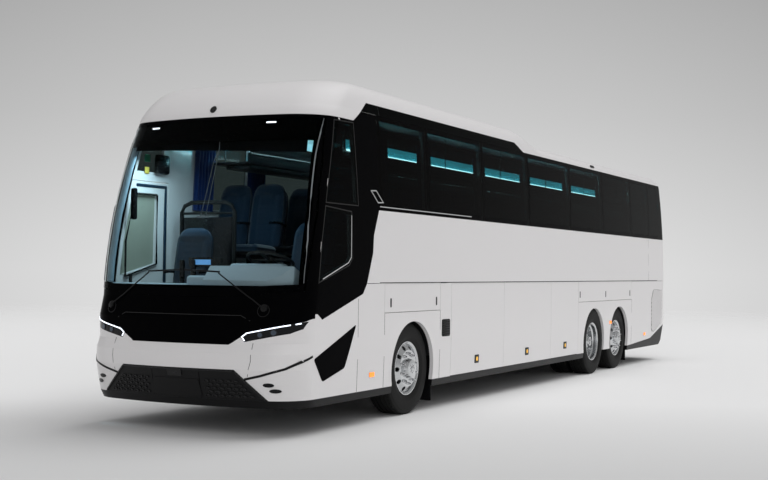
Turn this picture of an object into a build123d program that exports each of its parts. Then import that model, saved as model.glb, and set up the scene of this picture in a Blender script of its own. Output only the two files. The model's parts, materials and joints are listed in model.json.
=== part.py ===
from build123d import *
import os
from math import atan2, cos, radians, sin, sqrt

os.makedirs("parts", exist_ok=True)

# A three-axle touring coach. Millimetres. The nose points to -Y, the driver's side is +X, +Z is up,
# and the origin lies on the ground under the middle of the vehicle.

# ---------------------------------------------------------------- driving dimensions
LENGTH = 13700.0
HALF_WIDTH = 1275.0
FRONT_OVERHANG = 2703.0
WHEELBASE = 6550.0
TANDEM = 1365.0

NOSE = -LENGTH / 2
TAIL = LENGTH / 2
FRONT_AXLE = NOSE + FRONT_OVERHANG
DRIVE_AXLE = FRONT_AXLE + WHEELBASE
TAG_AXLE = DRIVE_AXLE + TANDEM

# Heights above the ground
SKIRT = 358.0            # lower edge of the painted side
GROUND_CLEARANCE = 280.0
SCREEN_FOOT = 1330.0     # where the front starts to lean back
BELT = 1470.0            # line along which the luggage doors hang
SILL = 2250.0            # lower edge of the side glass
GUTTER = 3270.0          # upper edge of the side glass, where the roof starts
CAP_EDGE = 3156.0        # lower edge of the roof over the windscreen
CEILING = 3300.0
FLOOR_TOP = 1450.0
COCKPIT_TOP = 960.0      # floor under the driver's feet
BAY_FLOOR = 375.0        # luggage rests on this

# Walls and fits
WALL = 45.0
GLASS = 8.0
SEAT_GAP = 0.3           # glass and trim lie this far off their seats
PANEL_GAP = 6.0          # open joint round every door and flap
DOOR_GAP = 8.0           # open joint round the entry door
CAP_GAP = 0.5            # between the front end and the sides

# Corners of the body in plan
NOSE_CROWN = 4500.0      # radius of the gentle arc across the nose
TAIL_CROWN = 14000.0
TAIL_CORNER = 210.0

# Wheels
TYRE_RADIUS = 515.0
TYRE_WIDTH = 295.0
ARCH_RADIUS = 530.0
ARCH_LEG = 512.0         # half the arch width at the skirt
TWIN_SPACING = 330.0
HUB_Z = TYRE_RADIUS
FRONT_WHEEL_X = 1065.0   # middle plane of each tyre
DRIVE_WHEEL_X = 1110.0
TAG_WHEEL_X = 1075.0
KINGPIN_X = 975.0
SPINDLE_RADIUS = 45.0
SPIN_CLEARANCE = 0.8
FAR = 8000.0             # beyond the body on every side

# ---------------------------------------------------------------- body surface
# Plan sections of the body from the skirt to the foot of the windscreen.
# Columns: height, inward tuck of the side, setback of the nose, setback of the tail, nose corner radius
LOWER_SECTIONS = (
    (GROUND_CLEARANCE, 22, 110, 260, 400),
    (SKIRT, 13, 65, 150, 400),
    (650, 4, 0, 8, 400),
    (800, 0, 12, 0, 400),
    (900, 0, 56, 0, 400),
    (1130, 0, 50, 0, 400),
    (SCREEN_FOOT, 0, 103, 0, 400),
)
# Plan sections from the foot to the head of the windscreen, joined by one smooth surface.
UPPER_SECTIONS = (
    (SCREEN_FOOT, 0, 103, 0, 400),
    (2200, 10, 230, 16, 420),
    (CAP_EDGE, 58, 560, 110, 450),
)
# Plan sections of the long low roof.
ROOF_SECTIONS = (
    (CAP_EDGE, 58, 560, 110, 450),
    (GUTTER, 70, 628, 140, 450),
    (3352, 108, 730, 196, 440),
    (3405, 195, 880, 300, 400),
    (3440, 450, 1300, 620, 360),
)
# Plan sections of the raised front roof; its tail end ramps down to the low roof.
FAIRING_SECTIONS = (
    (CAP_EDGE, 58, 560, 6200, 450),
    (GUTTER, 70, 628, 6450, 450),
    (3380, 84, 735, 6850, 450),
    (3500, 128, 905, 7300, 430),
    (3572, 215, 1110, 7700, 400),
    (3600, 345, 1390, 8080, 340),
)
# Plan sections of the room under the roof.
CEILING_SECTIONS = (
    (CAP_EDGE, 58, 560, 110, 450),
    (CEILING, 92, 720, 200, 440),
)
# Shallow valley along the middle of the raised roof, as (x, z).
VALLEY = ((-740, 3566), (740, 3566), (930, 3610), (-930, 3610))


# ---------------------------------------------------------------- cutting and clipping helpers
def outline_faces(plane, outlines, margin):
    """Faces over closed outlines on a plane; the margin shrinks them."""
    with BuildSketch(plane) as faces:
        for points in outlines:
            with BuildLine():
                Polyline(*points, close=True)
            make_face()
        if margin:
            offset(amount=-margin, kind=Kind.INTERSECTION, mode=Mode.REPLACE)
    return faces.sketch


def side_prism(outlines, x_from, x_to, mode=Mode.ADD, margin=0.0):
    """Prisms over (y, z) outlines between two x planes, in the open BuildPart."""
    extrude(outline_faces(Plane.YZ.offset(x_from), outlines, margin), amount=x_to - x_from, mode=mode)


def front_prism(outlines, y_from, y_to, mode=Mode.ADD, margin=0.0):
    """Prisms over (x, z) outlines between two y planes, in the open BuildPart."""
    extrude(outline_faces(Plane.XZ.offset(-y_from), outlines, margin), amount=y_from - y_to, mode=mode)


def box_between(x0, x1, y0, y1, z0, z1, mode=Mode.ADD):
    """Box between two corners, in the open BuildPart."""
    with Locations(((x0 + x1) / 2, (y0 + y1) / 2, (z0 + z1) / 2)):
        Box(abs(x1 - x0), abs(y1 - y0), abs(z1 - z0), mode=mode)


def cross_cylinder(radius, x_from, x_to, y, z, mode=Mode.ADD):
    """Cylinder along X between two x planes, in the open BuildPart."""
    with BuildSketch(Plane.YZ.offset(x_from)) as disc:
        with Locations((y, z)):
            Circle(radius)
    extrude(disc.sketch, amount=x_to - x_from, mode=mode)


def post(radius, x, y, z_from, z_to, mode=Mode.ADD):
    """Upright cylinder between two heights, in the open BuildPart."""
    with BuildSketch(Plane.XY.offset(z_from)) as disc:
        with Locations((x, y)):
            Circle(radius)
    extrude(disc.sketch, amount=z_to - z_from, mode=mode)


def rectangle(y0, y1, z0, z1):
    return [(y0, z0), (y1, z0), (y1, z1), (y0, z1)]


def save(part, name):
    part.label = name
    export_step(part, f"parts/{name}.step")


# ---------------------------------------------------------------- body solids
def plan_section(height, tuck, nose_setback, tail_setback, corner, inset=0.0):
    """Closed plan outline of the body at one height: crowned nose and tail, round corners."""
    half = HALF_WIDTH - tuck - inset
    nose = NOSE + nose_setback + inset
    tail = TAIL - tail_setback - inset
    r_nose = corner - inset
    r_tail = TAIL_CORNER - inset
    crown = NOSE_CROWN - inset
    crown_tail = TAIL_CROWN - inset
    # centre of the nose corner arc, tangent inside to the crown and to the side
    nose_cx = half - r_nose
    nose_cy = nose + crown - sqrt((crown - r_nose) ** 2 - nose_cx**2)
    nose_turn = atan2(nose_cy - (nose + crown), nose_cx)
    tail_cx = half - r_tail
    tail_cy = tail - crown_tail + sqrt((crown_tail - r_tail) ** 2 - tail_cx**2)
    tail_turn = atan2(tail_cy - (tail - crown_tail), tail_cx)

    def at(cx, cy, radius, turn):
        return (cx + radius * cos(turn), cy + radius * sin(turn))

    nose_tip = at(nose_cx, nose_cy, r_nose, nose_turn)
    nose_mid = at(nose_cx, nose_cy, r_nose, nose_turn / 2)
    tail_tip = at(tail_cx, tail_cy, r_tail, tail_turn)
    tail_mid = at(tail_cx, tail_cy, r_tail, tail_turn / 2)
    with BuildSketch(Plane.XY.offset(height)) as section:
        with BuildLine():
            ThreePointArc((-nose_tip[0], nose_tip[1]), (0, nose), nose_tip)
            ThreePointArc(nose_tip, nose_mid, (half, nose_cy))
            Line((half, nose_cy), (half, tail_cy))
            ThreePointArc((half, tail_cy), tail_mid, tail_tip)
            ThreePointArc(tail_tip, (0, tail), (-tail_tip[0], tail_tip[1]))
            ThreePointArc((-tail_tip[0], tail_tip[1]), (-tail_mid[0], tail_mid[1]), (-half, tail_cy))
            Line((-half, tail_cy), (-half, nose_cy))
            ThreePointArc((-half, nose_cy), (-nose_mid[0], nose_mid[1]), (-nose_tip[0], nose_tip[1]))
        make_face()
    return section.sketch


def body_solid(inset=0.0, inside=False):
    """The body as one solid, set in by the inset; the inside version ends at the ceiling."""
    with BuildPart() as body:
        loft([plan_section(*row, inset) for row in LOWER_SECTIONS], ruled=True)
        loft([plan_section(*row, inset) for row in UPPER_SECTIONS])
        if inside:
            loft([plan_section(*row, inset) for row in CEILING_SECTIONS], ruled=True)
        else:
            loft([plan_section(*row, inset) for row in ROOF_SECTIONS])
            loft([plan_section(*row, inset) for row in FAIRING_SECTIONS])
            front_prism([VALLEY], NOSE, NOSE + 6500, mode=Mode.SUBTRACT)
    return body.part


skin = body_solid()
under_glass = body_solid(GLASS)
glass_seat = body_solid(GLASS + SEAT_GAP)
cavity = body_solid(WALL, inside=True)
room = body_solid(WALL + SEAT_GAP, inside=True)

# ---------------------------------------------------------------- lines of the body sides
# Joint between the front end and the sides, as (y, z) from the skirt up to the roof cap.
FRONT_JOINT = (
    (NOSE + 475, 200), (NOSE + 540, 1190), (NOSE + 640, 1900), (NOSE + 740, 2350), (NOSE + 966, CAP_EDGE),
)
# Joint between the sides and the tail, which leans forward with the tail.
TAIL_JOINT = ((TAIL - 85, 200), (TAIL - 85, SCREEN_FOOT), (TAIL - 105, 2200), (TAIL - 225, GUTTER))
# Lower edge of the painted side, climbing over the tail bumper.
TAIL_SKIRT = ((TAG_AXLE + 553, SKIRT), (TAIL - 1117, 425), (TAIL - 192, 657))
# Where the black band climbs from the driver's window to the gutter and on along the raised roof.
BAND_FOOT = (NOSE + 1353, CAP_EDGE)
BAND_KNEE = (NOSE + 1532, GUTTER)
BAND_HEAD = (NOSE + 1666, 3376)
BAND_END_HIGH = (NOSE + 5924, 3376)
BAND_END_LOW = (NOSE + 6232, GUTTER)

# Luggage doors lie between these seams, behind the front wheel and ahead of the tandem.
DOOR_SEAMS = (NOSE + 3716, NOSE + 5400, NOSE + 7216, NOSE + 8450)
# Wheel flaps under the belt. Columns: name, front edge, rear edge
FLAP_FOOT = 1152.0
FLAPS = (
    ("front_wheel_flap", FRONT_AXLE - 717, FRONT_AXLE + 697),
    ("rear_wheel_flap", DRIVE_AXLE - 794, TAG_AXLE + 734),
)
# Joints between side panes, measured from the nose, and the rear edge of the last pane as (y, z).
PANE_JOINTS = tuple(NOSE + run for run in (1860, 3060, 4695, 6325, 8100, 9725, 11335, 12490))
PANE_GAP = 8.0
PANE_END = ((TAIL - 245, GUTTER), (TAIL - 126, 2310), (TAIL - 160, SILL))
CLEAR_SIDE = 60.0        # from a pane's edge to the clear opening behind it
CLEAR_TRIM = 30.0        # the same round the small front windows
LAST_CLEAR = TAIL - 420  # rear edge of the last clear opening

DOOR_TOP = 2570.0
DOOR_REAR = NOSE + 1445

# Hinge of a hanging door: a bead just inside the outer surface, in the joint over the door's edge
BEAD_RADIUS = 3.7
BEAD_INSET = 4.5
HINGE_DROP = 10.0        # from the bead's axis down to the top edge of the door
WEB = 3.0
VALANCE_JOINT = 0.5      # between the skirt and the valance under it
INBOARD = 500.0          # every side piece lies outside this plane


def front_joint_at(z):
    """Place along Y of the joint between the front end and the sides, at one height."""
    for (y0, z0), (y1, z1) in zip(FRONT_JOINT, FRONT_JOINT[1:]):
        if z <= z1:
            return y0 + (y1 - y0) * (z - z0) / (z1 - z0)
    return FRONT_JOINT[-1][0]


def along_joint(foot, top, gap):
    """Points up a line that runs behind the front joint by the gap."""
    heights = [foot, *[z for y, z in FRONT_JOINT if foot < z < top], top]
    return [(front_joint_at(z) + gap, z) for z in heights]


def door_outline(gap):
    """Outline of the entry door, in from its opening by the gap."""
    foot = SKIRT + gap
    top = DOOR_TOP - gap
    return [*along_joint(foot, top, gap), (DOOR_REAR - gap, top), (DOOR_REAR - gap, foot)]


# Windows beside the driver and over the front seats, and the window of the entry door, as (y, z).
TRIM_GAP = 14.0
DRIVER_GLASS = [
    *along_joint(1485, 2240, TRIM_GAP), (NOSE + 1253, 2207), (NOSE + 1264, 1731), (NOSE + 1200, 1662),
]
QUARTER_GLASS = {
    1: [*along_joint(2275, 3120, TRIM_GAP), (NOSE + 1345, 3130), (NOSE + 1369, 2746), (NOSE + 1398, 2275)],
    -1: [*along_joint(2640, 3120, TRIM_GAP), (NOSE + 1345, 3130), (NOSE + 1374, 2640)],
}
DOOR_GLASS = [*along_joint(1490, 2465, 32), (NOSE + 1285, 2465), (NOSE + 1285, 1625)]


def pane_outline(index):
    """Outline of one side pane; the last one ends round the tail corner."""
    front = PANE_JOINTS[index] + PANE_GAP / 2
    if index + 1 < len(PANE_JOINTS):
        return rectangle(front, PANE_JOINTS[index + 1] - PANE_GAP / 2, SILL, GUTTER)
    return [(front, SILL), (front, GUTTER), *PANE_END]


def clear_outline(index):
    """Outline of the opening behind one side pane."""
    last = index + 1 == len(PANE_JOINTS)
    rear = LAST_CLEAR if last else PANE_JOINTS[index + 1] - CLEAR_SIDE
    return rectangle(PANE_JOINTS[index] + CLEAR_SIDE, rear, SILL + CLEAR_SIDE, GUTTER - CLEAR_SIDE)


def side_clip(outlines, sign, mode=Mode.INTERSECT, margin=0.0):
    """Keep or cut what lies over side outlines, on one side of the vehicle."""
    side_prism(outlines, sign * INBOARD, sign * FAR, mode=mode, margin=margin)


def front_clip(outlines, mode=Mode.INTERSECT, margin=0.0, reach=1500.0):
    """Keep or cut what lies over front outlines, back to the reach behind the nose."""
    front_prism(outlines, NOSE - 100, NOSE + reach, mode=mode, margin=margin)


def tail_clip(outlines, mode=Mode.INTERSECT, margin=0.0):
    """Keep or cut what lies over outlines seen from behind, within the tail."""
    front_prism(outlines, TAIL - 500, TAIL + 100, mode=mode, margin=margin)


# ---------------------------------------------------------------- shells cut from the body
with BuildPart() as shell:
    add(skin)
    add(cavity, mode=Mode.SUBTRACT)

with BuildPart() as glass_shell:
    add(skin)
    add(under_glass, mode=Mode.SUBTRACT)

with BuildPart() as rebate_shell:
    add(skin)
    add(glass_seat, mode=Mode.SUBTRACT)


def rebate(clip, outlines, *where):
    """Seats of panes over the outlines, deeper and wider than the panes by the seat gap."""
    with BuildPart() as seat:
        add(rebate_shell.part)
        clip(outlines, *where, margin=-SEAT_GAP)
    return seat.part


def pane(clip, outlines, *where):
    """Pieces of the skin over the outlines, as thick as the glass."""
    with BuildPart() as glass:
        add(glass_shell.part)
        clip(outlines, *where)
    return glass.part


band_zone = [
    (PANE_JOINTS[0], SILL), (PANE_JOINTS[0], GUTTER + SEAT_GAP), *PANE_END,
]

# ---------------------------------------------------------------- side walls
side_outline = [
    *along_joint(SKIRT, CAP_EDGE, 0), BAND_FOOT, BAND_KNEE,
    *reversed(TAIL_JOINT[1:]), (TAIL_JOINT[0][0], TAIL_SKIRT[2][1]), *reversed(TAIL_SKIRT),
]


def small_windows(sign):
    """Outlines of the small front windows on one side; the door fills the lower one's place at -X."""
    return [QUARTER_GLASS[sign], DRIVER_GLASS] if sign > 0 else [QUARTER_GLASS[sign]]


def side_wall(sign):
    """Side of the body from skirt to gutter, with its windows, doors and wheel arches cut."""
    seats = rebate(side_clip, [band_zone, *small_windows(sign)], sign)
    openings = [clear_outline(index) for index in range(len(PANE_JOINTS))]
    openings.append(rectangle(DOOR_SEAMS[0] - PANEL_GAP / 2, DOOR_SEAMS[-1] + PANEL_GAP / 2, 0, BELT))
    for name, front, rear in FLAPS:
        openings.append(rectangle(front - PANEL_GAP / 2, rear + PANEL_GAP / 2, FLAP_FOOT, BELT))
    for axle in (FRONT_AXLE, DRIVE_AXLE, TAG_AXLE):
        openings.append(rectangle(axle - ARCH_LEG, axle + ARCH_LEG, 0, HUB_Z))
    if sign < 0:
        openings.append(door_outline(0))
    with BuildPart() as wall:
        add(shell.part)
        side_clip([side_outline], sign)
        add(seats, mode=Mode.SUBTRACT)
        side_clip(openings, sign, Mode.SUBTRACT)
        side_clip(small_windows(sign), sign, Mode.SUBTRACT, CLEAR_TRIM)
        for axle in (FRONT_AXLE, DRIVE_AXLE, TAG_AXLE):
            cross_cylinder(ARCH_RADIUS, sign * INBOARD, sign * FAR, axle, HUB_Z, Mode.SUBTRACT)
    return wall.part


for side, sign in (("left", 1), ("right", -1)):
    save(side_wall(sign), f"side_wall_{side}")

# ---------------------------------------------------------------- side glass with the fairing band
band_seat = [(y, z + 2 * SEAT_GAP) for y, z in (BAND_KNEE, BAND_HEAD, BAND_END_HIGH, BAND_END_LOW)]

for side, sign in (("left", 1), ("right", -1)):
    panes = [pane_outline(index) for index in range(len(PANE_JOINTS))]
    save(pane(side_clip, [*panes, *small_windows(sign), band_seat], sign), f"side_windows_{side}")

# ---------------------------------------------------------------- roof
roof_outline = [
    (NOSE - 100, CAP_EDGE + SEAT_GAP), (BAND_FOOT[0], CAP_EDGE + SEAT_GAP),
    (BAND_KNEE[0], GUTTER + SEAT_GAP), (TAIL + 100, GUTTER + SEAT_GAP), (TAIL + 100, 3700),
    (NOSE - 100, 3700),
]
# The roof is a front cap, then lengths that meet at the hatch ends, each of a middle and two cheeks
CAP_REAR = NOSE + 1930
ROOF_SEAM_X = 600.0
HATCH_LENGTH = 750.0
HATCH_WIDTH = 900.0
HATCH_THICK = 30.0
HATCH_LAP = 50.0         # the lid laps the opening by this much
HATCH_BEAD = 8.0
# Roof hatches. Columns: name, front edge, height of the roof under the lid
HATCHES = (
    ("roof_hatch_front", NOSE + 2950, VALLEY[0][1]),
    ("roof_hatch_rear", TAIL - 3550, ROOF_SECTIONS[-1][0]),
)

with BuildPart() as roof:
    add(shell.part)
    side_prism([roof_outline], -FAR, FAR, mode=Mode.INTERSECT)
    for sign in (1, -1):
        add(rebate(side_clip, [band_seat], sign), mode=Mode.SUBTRACT)
    for name, front, base in HATCHES:
        box_between(-HATCH_WIDTH / 2 + HATCH_LAP, HATCH_WIDTH / 2 - HATCH_LAP, front + HATCH_LAP,
                    front + HATCH_LENGTH - HATCH_LAP, 3000, 3700, Mode.SUBTRACT)
        for seam in (front + HATCH_LAP, front + HATCH_LENGTH - HATCH_LAP):
            box_between(-FAR, FAR, seam - SEAT_GAP / 2, seam + SEAT_GAP / 2, 3000, 3700, Mode.SUBTRACT)
    box_between(-FAR, FAR, CAP_REAR - SEAT_GAP, CAP_REAR, 3000, 3700, Mode.SUBTRACT)
    for seam in (-ROOF_SEAM_X, ROOF_SEAM_X):
        box_between(seam - SEAT_GAP / 2, seam + SEAT_GAP / 2, CAP_REAR, FAR, 3000, 3700, Mode.SUBTRACT)
save(roof.part, "roof")

for name, front, base in HATCHES:
    foot = base + SEAT_GAP
    with BuildPart() as hatch:
        box_between(-HATCH_WIDTH / 2, HATCH_WIDTH / 2, front, front + HATCH_LENGTH, foot, foot + HATCH_THICK)
        bead = front - HATCH_BEAD / 2
        with BuildSketch(Plane.YZ.offset(-HATCH_WIDTH / 3)):
            with Locations((bead, foot + HATCH_BEAD)):
                Circle(HATCH_BEAD)
        extrude(amount=HATCH_WIDTH * 2 / 3)
    save(hatch.part, name)

# ---------------------------------------------------------------- luggage doors and wheel flaps
def hung_panel(front, rear, foot, sign):
    """Panel hung under the belt: a piece of the wall with a hinge bead over its top edge."""
    axis_x = sign * (HALF_WIDTH - BEAD_INSET)
    axis_z = BELT - SEAT_GAP - BEAD_RADIUS
    head = axis_z - HINGE_DROP
    with BuildPart() as panel:
        add(shell.part)
        side_clip([rectangle(front + PANEL_GAP / 2, rear - PANEL_GAP / 2, foot, head)], sign)
        box_between(axis_x - WEB / 2, axis_x + WEB / 2, front + PANEL_GAP, rear - PANEL_GAP, head - 1, axis_z)
        with BuildSketch(Plane.XZ.offset(-(front + PANEL_GAP))):
            with Locations((axis_x, axis_z)):
                Circle(BEAD_RADIUS)
        extrude(amount=-(rear - front - 2 * PANEL_GAP))
    return panel.part


for side, sign in (("left", 1), ("right", -1)):
    for number, (front, rear) in enumerate(zip(DOOR_SEAMS, DOOR_SEAMS[1:]), start=1):
        save(hung_panel(front, rear, SKIRT + PANEL_GAP, sign), f"luggage_door_{side}_{number}")
    for name, front, rear in FLAPS:
        save(hung_panel(front, rear, FLAP_FOOT + PANEL_GAP, sign), f"{name}_{side}")

# ---------------------------------------------------------------- entry door and its swing arm
DOOR_PIVOT = (-(HALF_WIDTH - 110), NOSE + 750)
DOOR_ARM = 450.0
ARM_HEIGHTS = (800.0, 1250.0)
ARM_THICK = 30.0
ARM_WIDTH = 40.0
LUG_THICK = 8.0
LUG_PLAY = 0.5
PIN_RADIUS = 12.0
PIN_CLEARANCE = 0.3
POST_RADIUS = 18.0
FIRST_STEP = 430.0
door_pin = (DOOR_PIVOT[0], DOOR_PIVOT[1] + DOOR_ARM)
door_seat = rebate(side_clip, [DOOR_GLASS], -1)

with BuildPart() as entry_door:
    add(shell.part)
    side_clip([door_outline(DOOR_GAP)], -1)
    add(door_seat, mode=Mode.SUBTRACT)
    side_clip([DOOR_GLASS], -1, Mode.SUBTRACT, CLEAR_TRIM)
    for height in ARM_HEIGHTS:
        reach = ARM_THICK / 2 + LUG_PLAY + LUG_THICK
        for foot in (height - reach, height + reach - LUG_THICK):
            box_between(-(HALF_WIDTH - WALL + 3), door_pin[0] + ARM_WIDTH / 2, door_pin[1] - ARM_WIDTH / 2,
                        door_pin[1] + ARM_WIDTH / 2, foot, foot + LUG_THICK)
        post(PIN_RADIUS, *door_pin, height - reach, height + reach)
    add(pane(side_clip, [DOOR_GLASS], -1))
save(entry_door.part, "entry_door")

with BuildPart() as entry_door_arm:
    post(POST_RADIUS, *DOOR_PIVOT, FIRST_STEP + SEAT_GAP, ARM_HEIGHTS[1] + 300)
    for height in ARM_HEIGHTS:
        under = height - ARM_THICK / 2
        over = height + ARM_THICK / 2
        box_between(DOOR_PIVOT[0] - ARM_WIDTH / 2, DOOR_PIVOT[0] + ARM_WIDTH / 2, DOOR_PIVOT[1], door_pin[1],
                    under, over)
        post(ARM_WIDTH / 2, *door_pin, under, over)
        post(PIN_RADIUS + PIN_CLEARANCE, *door_pin, under, over, Mode.SUBTRACT)
save(entry_door_arm.part, "entry_door_arm")

# ---------------------------------------------------------------- front end
# Half outlines in front view, as (x, z), from the outside to the middle.
SCREEN_HALF = ((1173, 3150), (1224, 2660), (1250, 2160), (1246, 1700), (1230, 1402), (600, 1345), (0, 1332))
SCREEN_CLEAR_HALF = ((1135, 2890), (1185, 2160), (1185, 1450))
MASK_FOOT_HALF = ((HALF_WIDTH + 50, 1190), (1250, 1112), (691, 952), (579, 883), (0, 883))
LAMP_HALF = ((700, 958), (738, 912), (1160, 998), (1238, 1040), (1262, 1112), (745, 1003))
GRILLE_HALF = ((668, 650), (985, SKIRT), (985, 200))
LAMP_REACH = 500.0
# A towing eye screws in at each end, through a hole in a middle panel.
TOW_HEIGHT = 470.0
TOW_BORE = 24.0
TOW_HOLE = 30.0
TOW_PANEL = 280.0        # half width of the middle panel


def both_halves(half):
    """Closed outline from its half at +x, mirrored about the middle."""
    return [*half, *[(-x, z) for x, z in reversed(half) if x]]


def tow_hole(radius, y_from, y_to):
    """Cut a round hole along Y at the towing height out of the open BuildPart."""
    with BuildSketch(Plane.XZ.offset(-y_from)) as hole:
        with Locations((0, TOW_HEIGHT)):
            Circle(radius)
    extrude(hole.sketch, amount=y_from - y_to, mode=Mode.SUBTRACT)


def tow_panel(y_from, y_to):
    """Part the middle panel from its neighbours in the open BuildPart, and cut its hole."""
    for side in (1, -1):
        box_between(side * TOW_PANEL, side * (TOW_PANEL + PANEL_GAP), y_from, y_to, 0, SCREEN_FOOT,
                    Mode.SUBTRACT)
    tow_hole(TOW_HOLE, y_from, y_to)


front_zone = [(NOSE - 100, 150), *[(y - CAP_GAP, z) for y, z in FRONT_JOINT], (NOSE - 100, CAP_EDGE)]
mask_outline = [(-FAR, CAP_EDGE), (FAR, CAP_EDGE), (FAR, MASK_FOOT_HALF[0][1]),
                *both_halves(MASK_FOOT_HALF), (-FAR, MASK_FOOT_HALF[0][1])]
bumper_outline = [(-FAR, SKIRT), (FAR, SKIRT), (FAR, MASK_FOOT_HALF[0][1] - SEAT_GAP),
                  *[(x, z - SEAT_GAP) for x, z in both_halves(MASK_FOOT_HALF)],
                  (-FAR, MASK_FOOT_HALF[0][1] - SEAT_GAP)]
screen_seat = rebate(front_clip, [both_halves(SCREEN_HALF)])


def cut_lamps():
    """Cut both headlamp apertures out of the open BuildPart."""
    lamps = [[(side * x, z) for x, z in LAMP_HALF] for side in (1, -1)]
    front_clip(lamps, Mode.SUBTRACT, reach=LAMP_REACH)


save(pane(front_clip, [both_halves(SCREEN_HALF)]), "windscreen")

with BuildPart() as front_mask:
    add(shell.part)
    side_prism([front_zone], -FAR, FAR, mode=Mode.INTERSECT)
    front_clip([mask_outline])
    add(screen_seat, mode=Mode.SUBTRACT)
    front_clip([both_halves(SCREEN_CLEAR_HALF)], Mode.SUBTRACT)
    cut_lamps()
save(front_mask.part, "front_mask")

with BuildPart() as front_bumper:
    add(shell.part)
    side_prism([front_zone], -FAR, FAR, mode=Mode.INTERSECT)
    front_clip([bumper_outline])
    front_clip([both_halves(GRILLE_HALF)], Mode.SUBTRACT, reach=LAMP_REACH)
    cut_lamps()
save(front_bumper.part, "front_bumper")

with BuildPart() as bumper_grille:
    add(shell.part)
    front_clip([both_halves(GRILLE_HALF)], margin=SEAT_GAP, reach=LAMP_REACH)
    box_between(-FAR, FAR, NOSE - 100, 0, 0, SKIRT, Mode.SUBTRACT)
    tow_panel(NOSE - 100, NOSE + 250)
save(bumper_grille.part, "bumper_grille")

with BuildPart() as headlamps:
    add(shell.part)
    front_clip([LAMP_HALF], margin=SEAT_GAP, reach=LAMP_REACH)
    mirror(about=Plane.YZ)
save(headlamps.part, "headlamps")

# ---------------------------------------------------------------- lower valance
valance_outline = [
    (NOSE - 100, GROUND_CLEARANCE), (NOSE - 100, SKIRT - VALANCE_JOINT),
    (TAIL_SKIRT[0][0], SKIRT - VALANCE_JOINT), *[(y, z - VALANCE_JOINT) for y, z in TAIL_SKIRT[1:]],
    (TAIL + 100, TAIL_SKIRT[2][1] - VALANCE_JOINT), (TAIL + 100, GROUND_CLEARANCE),
]

with BuildPart() as lower_valance:
    add(shell.part)
    side_prism([valance_outline], -FAR, FAR, mode=Mode.INTERSECT)
    for axle in (FRONT_AXLE, DRIVE_AXLE, TAG_AXLE):
        box_between(-FAR, FAR, axle - ARCH_LEG, axle + ARCH_LEG, 0, HUB_Z, Mode.SUBTRACT)
    box_between(-FAR, FAR, DRIVE_AXLE, TAG_AXLE, 0, HUB_Z, Mode.SUBTRACT)
    tow_panel(TAIL - 350, TAIL + 100)
save(lower_valance.part, "lower_valance")

# ---------------------------------------------------------------- tail
REAR_GLASS = both_halves(((1070, 3130), (1120, SILL)))
LID_HALF = 800.0
LID_FOOT = 700.0
LID_HEAD = 1650.0
LID_BEAD_HALF = 250.0
LID_BEAD_INSET = 9.0     # deeper than on the sides, as the tail is crowned
LAMP_X = (1010.0, 1130.0)
LAMP_Z = (900.0, 1900.0)
rear_seat = rebate(tail_clip, [REAR_GLASS])
rear_zone = [(TAIL + 100, TAIL_SKIRT[2][1]), (TAIL_JOINT[0][0] + SEAT_GAP, TAIL_SKIRT[2][1]),
             *[(y + SEAT_GAP, z) for y, z in TAIL_JOINT[1:]], (TAIL + 100, GUTTER)]
bead_z = LID_HEAD + HINGE_DROP
lid_opening = [(-LID_HALF - PANEL_GAP, LID_FOOT - PANEL_GAP), (LID_HALF + PANEL_GAP, LID_FOOT - PANEL_GAP),
               (LID_HALF + PANEL_GAP, bead_z + BEAD_RADIUS + SEAT_GAP),
               (-LID_HALF - PANEL_GAP, bead_z + BEAD_RADIUS + SEAT_GAP)]
lid_outline = [(-LID_HALF, LID_FOOT), (LID_HALF, LID_FOOT), (LID_HALF, LID_HEAD), (-LID_HALF, LID_HEAD)]


def lamp_outline(side):
    """Outline of one tail lamp seen from behind."""
    return [(side * LAMP_X[0], LAMP_Z[0]), (side * LAMP_X[1], LAMP_Z[0]),
            (side * LAMP_X[1], LAMP_Z[1]), (side * LAMP_X[0], LAMP_Z[1])]


with BuildPart() as rear_wall:
    add(shell.part)
    side_prism([rear_zone], -FAR, FAR, mode=Mode.INTERSECT)
    add(rear_seat, mode=Mode.SUBTRACT)
    tail_clip([REAR_GLASS], Mode.SUBTRACT, CLEAR_SIDE)
    tail_clip([lid_opening], Mode.SUBTRACT)
    tail_clip([lamp_outline(1), lamp_outline(-1)], Mode.SUBTRACT)
save(rear_wall.part, "rear_wall")

save(pane(tail_clip, [REAR_GLASS]), "rear_window")

with BuildPart() as tail_lamps:
    add(shell.part)
    tail_clip([lamp_outline(1)], margin=SEAT_GAP)
    side_prism([rear_zone], -FAR, FAR, mode=Mode.INTERSECT)
    mirror(about=Plane.YZ)
save(tail_lamps.part, "tail_lamps")

with BuildPart() as engine_lid:
    add(shell.part)
    tail_clip([lid_outline])
    bead_y = TAIL - LID_BEAD_INSET
    box_between(-LID_BEAD_HALF, LID_BEAD_HALF, bead_y - WEB / 2, bead_y + WEB / 2, LID_HEAD - 1, bead_z)
    cross_cylinder(BEAD_RADIUS, -LID_BEAD_HALF, LID_BEAD_HALF, bead_y, bead_z)
save(engine_lid.part, "engine_lid")

# ---------------------------------------------------------------- chassis and axles
RAIL_X = (380.0, 450.0)
RAIL_Z = (640.0, 820.0)
FLOOR_THICK = 30.0
KEEL_Z = (285.0, BAY_FLOOR - FLOOR_THICK - SEAT_GAP)
BAY_BULKHEADS = (FRONT_AXLE + 707, DRIVE_AXLE - 723)    # front and rear ends of the luggage bay
FRAME_ENDS = (NOSE + 290, TAIL - 290)
CROSS_WIDTH = 100.0
CROSS_MEMBERS = (FRONT_AXLE - 1153, FRONT_AXLE + 447, DRIVE_AXLE - 703, DRIVE_AXLE + 632, TAG_AXLE + 932)
NARROW_X = (150.0, 220.0)            # rails ahead of the stair, which stands beside them
TOW_Z = (380.0, RAIL_Z[0] + 1)

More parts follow.
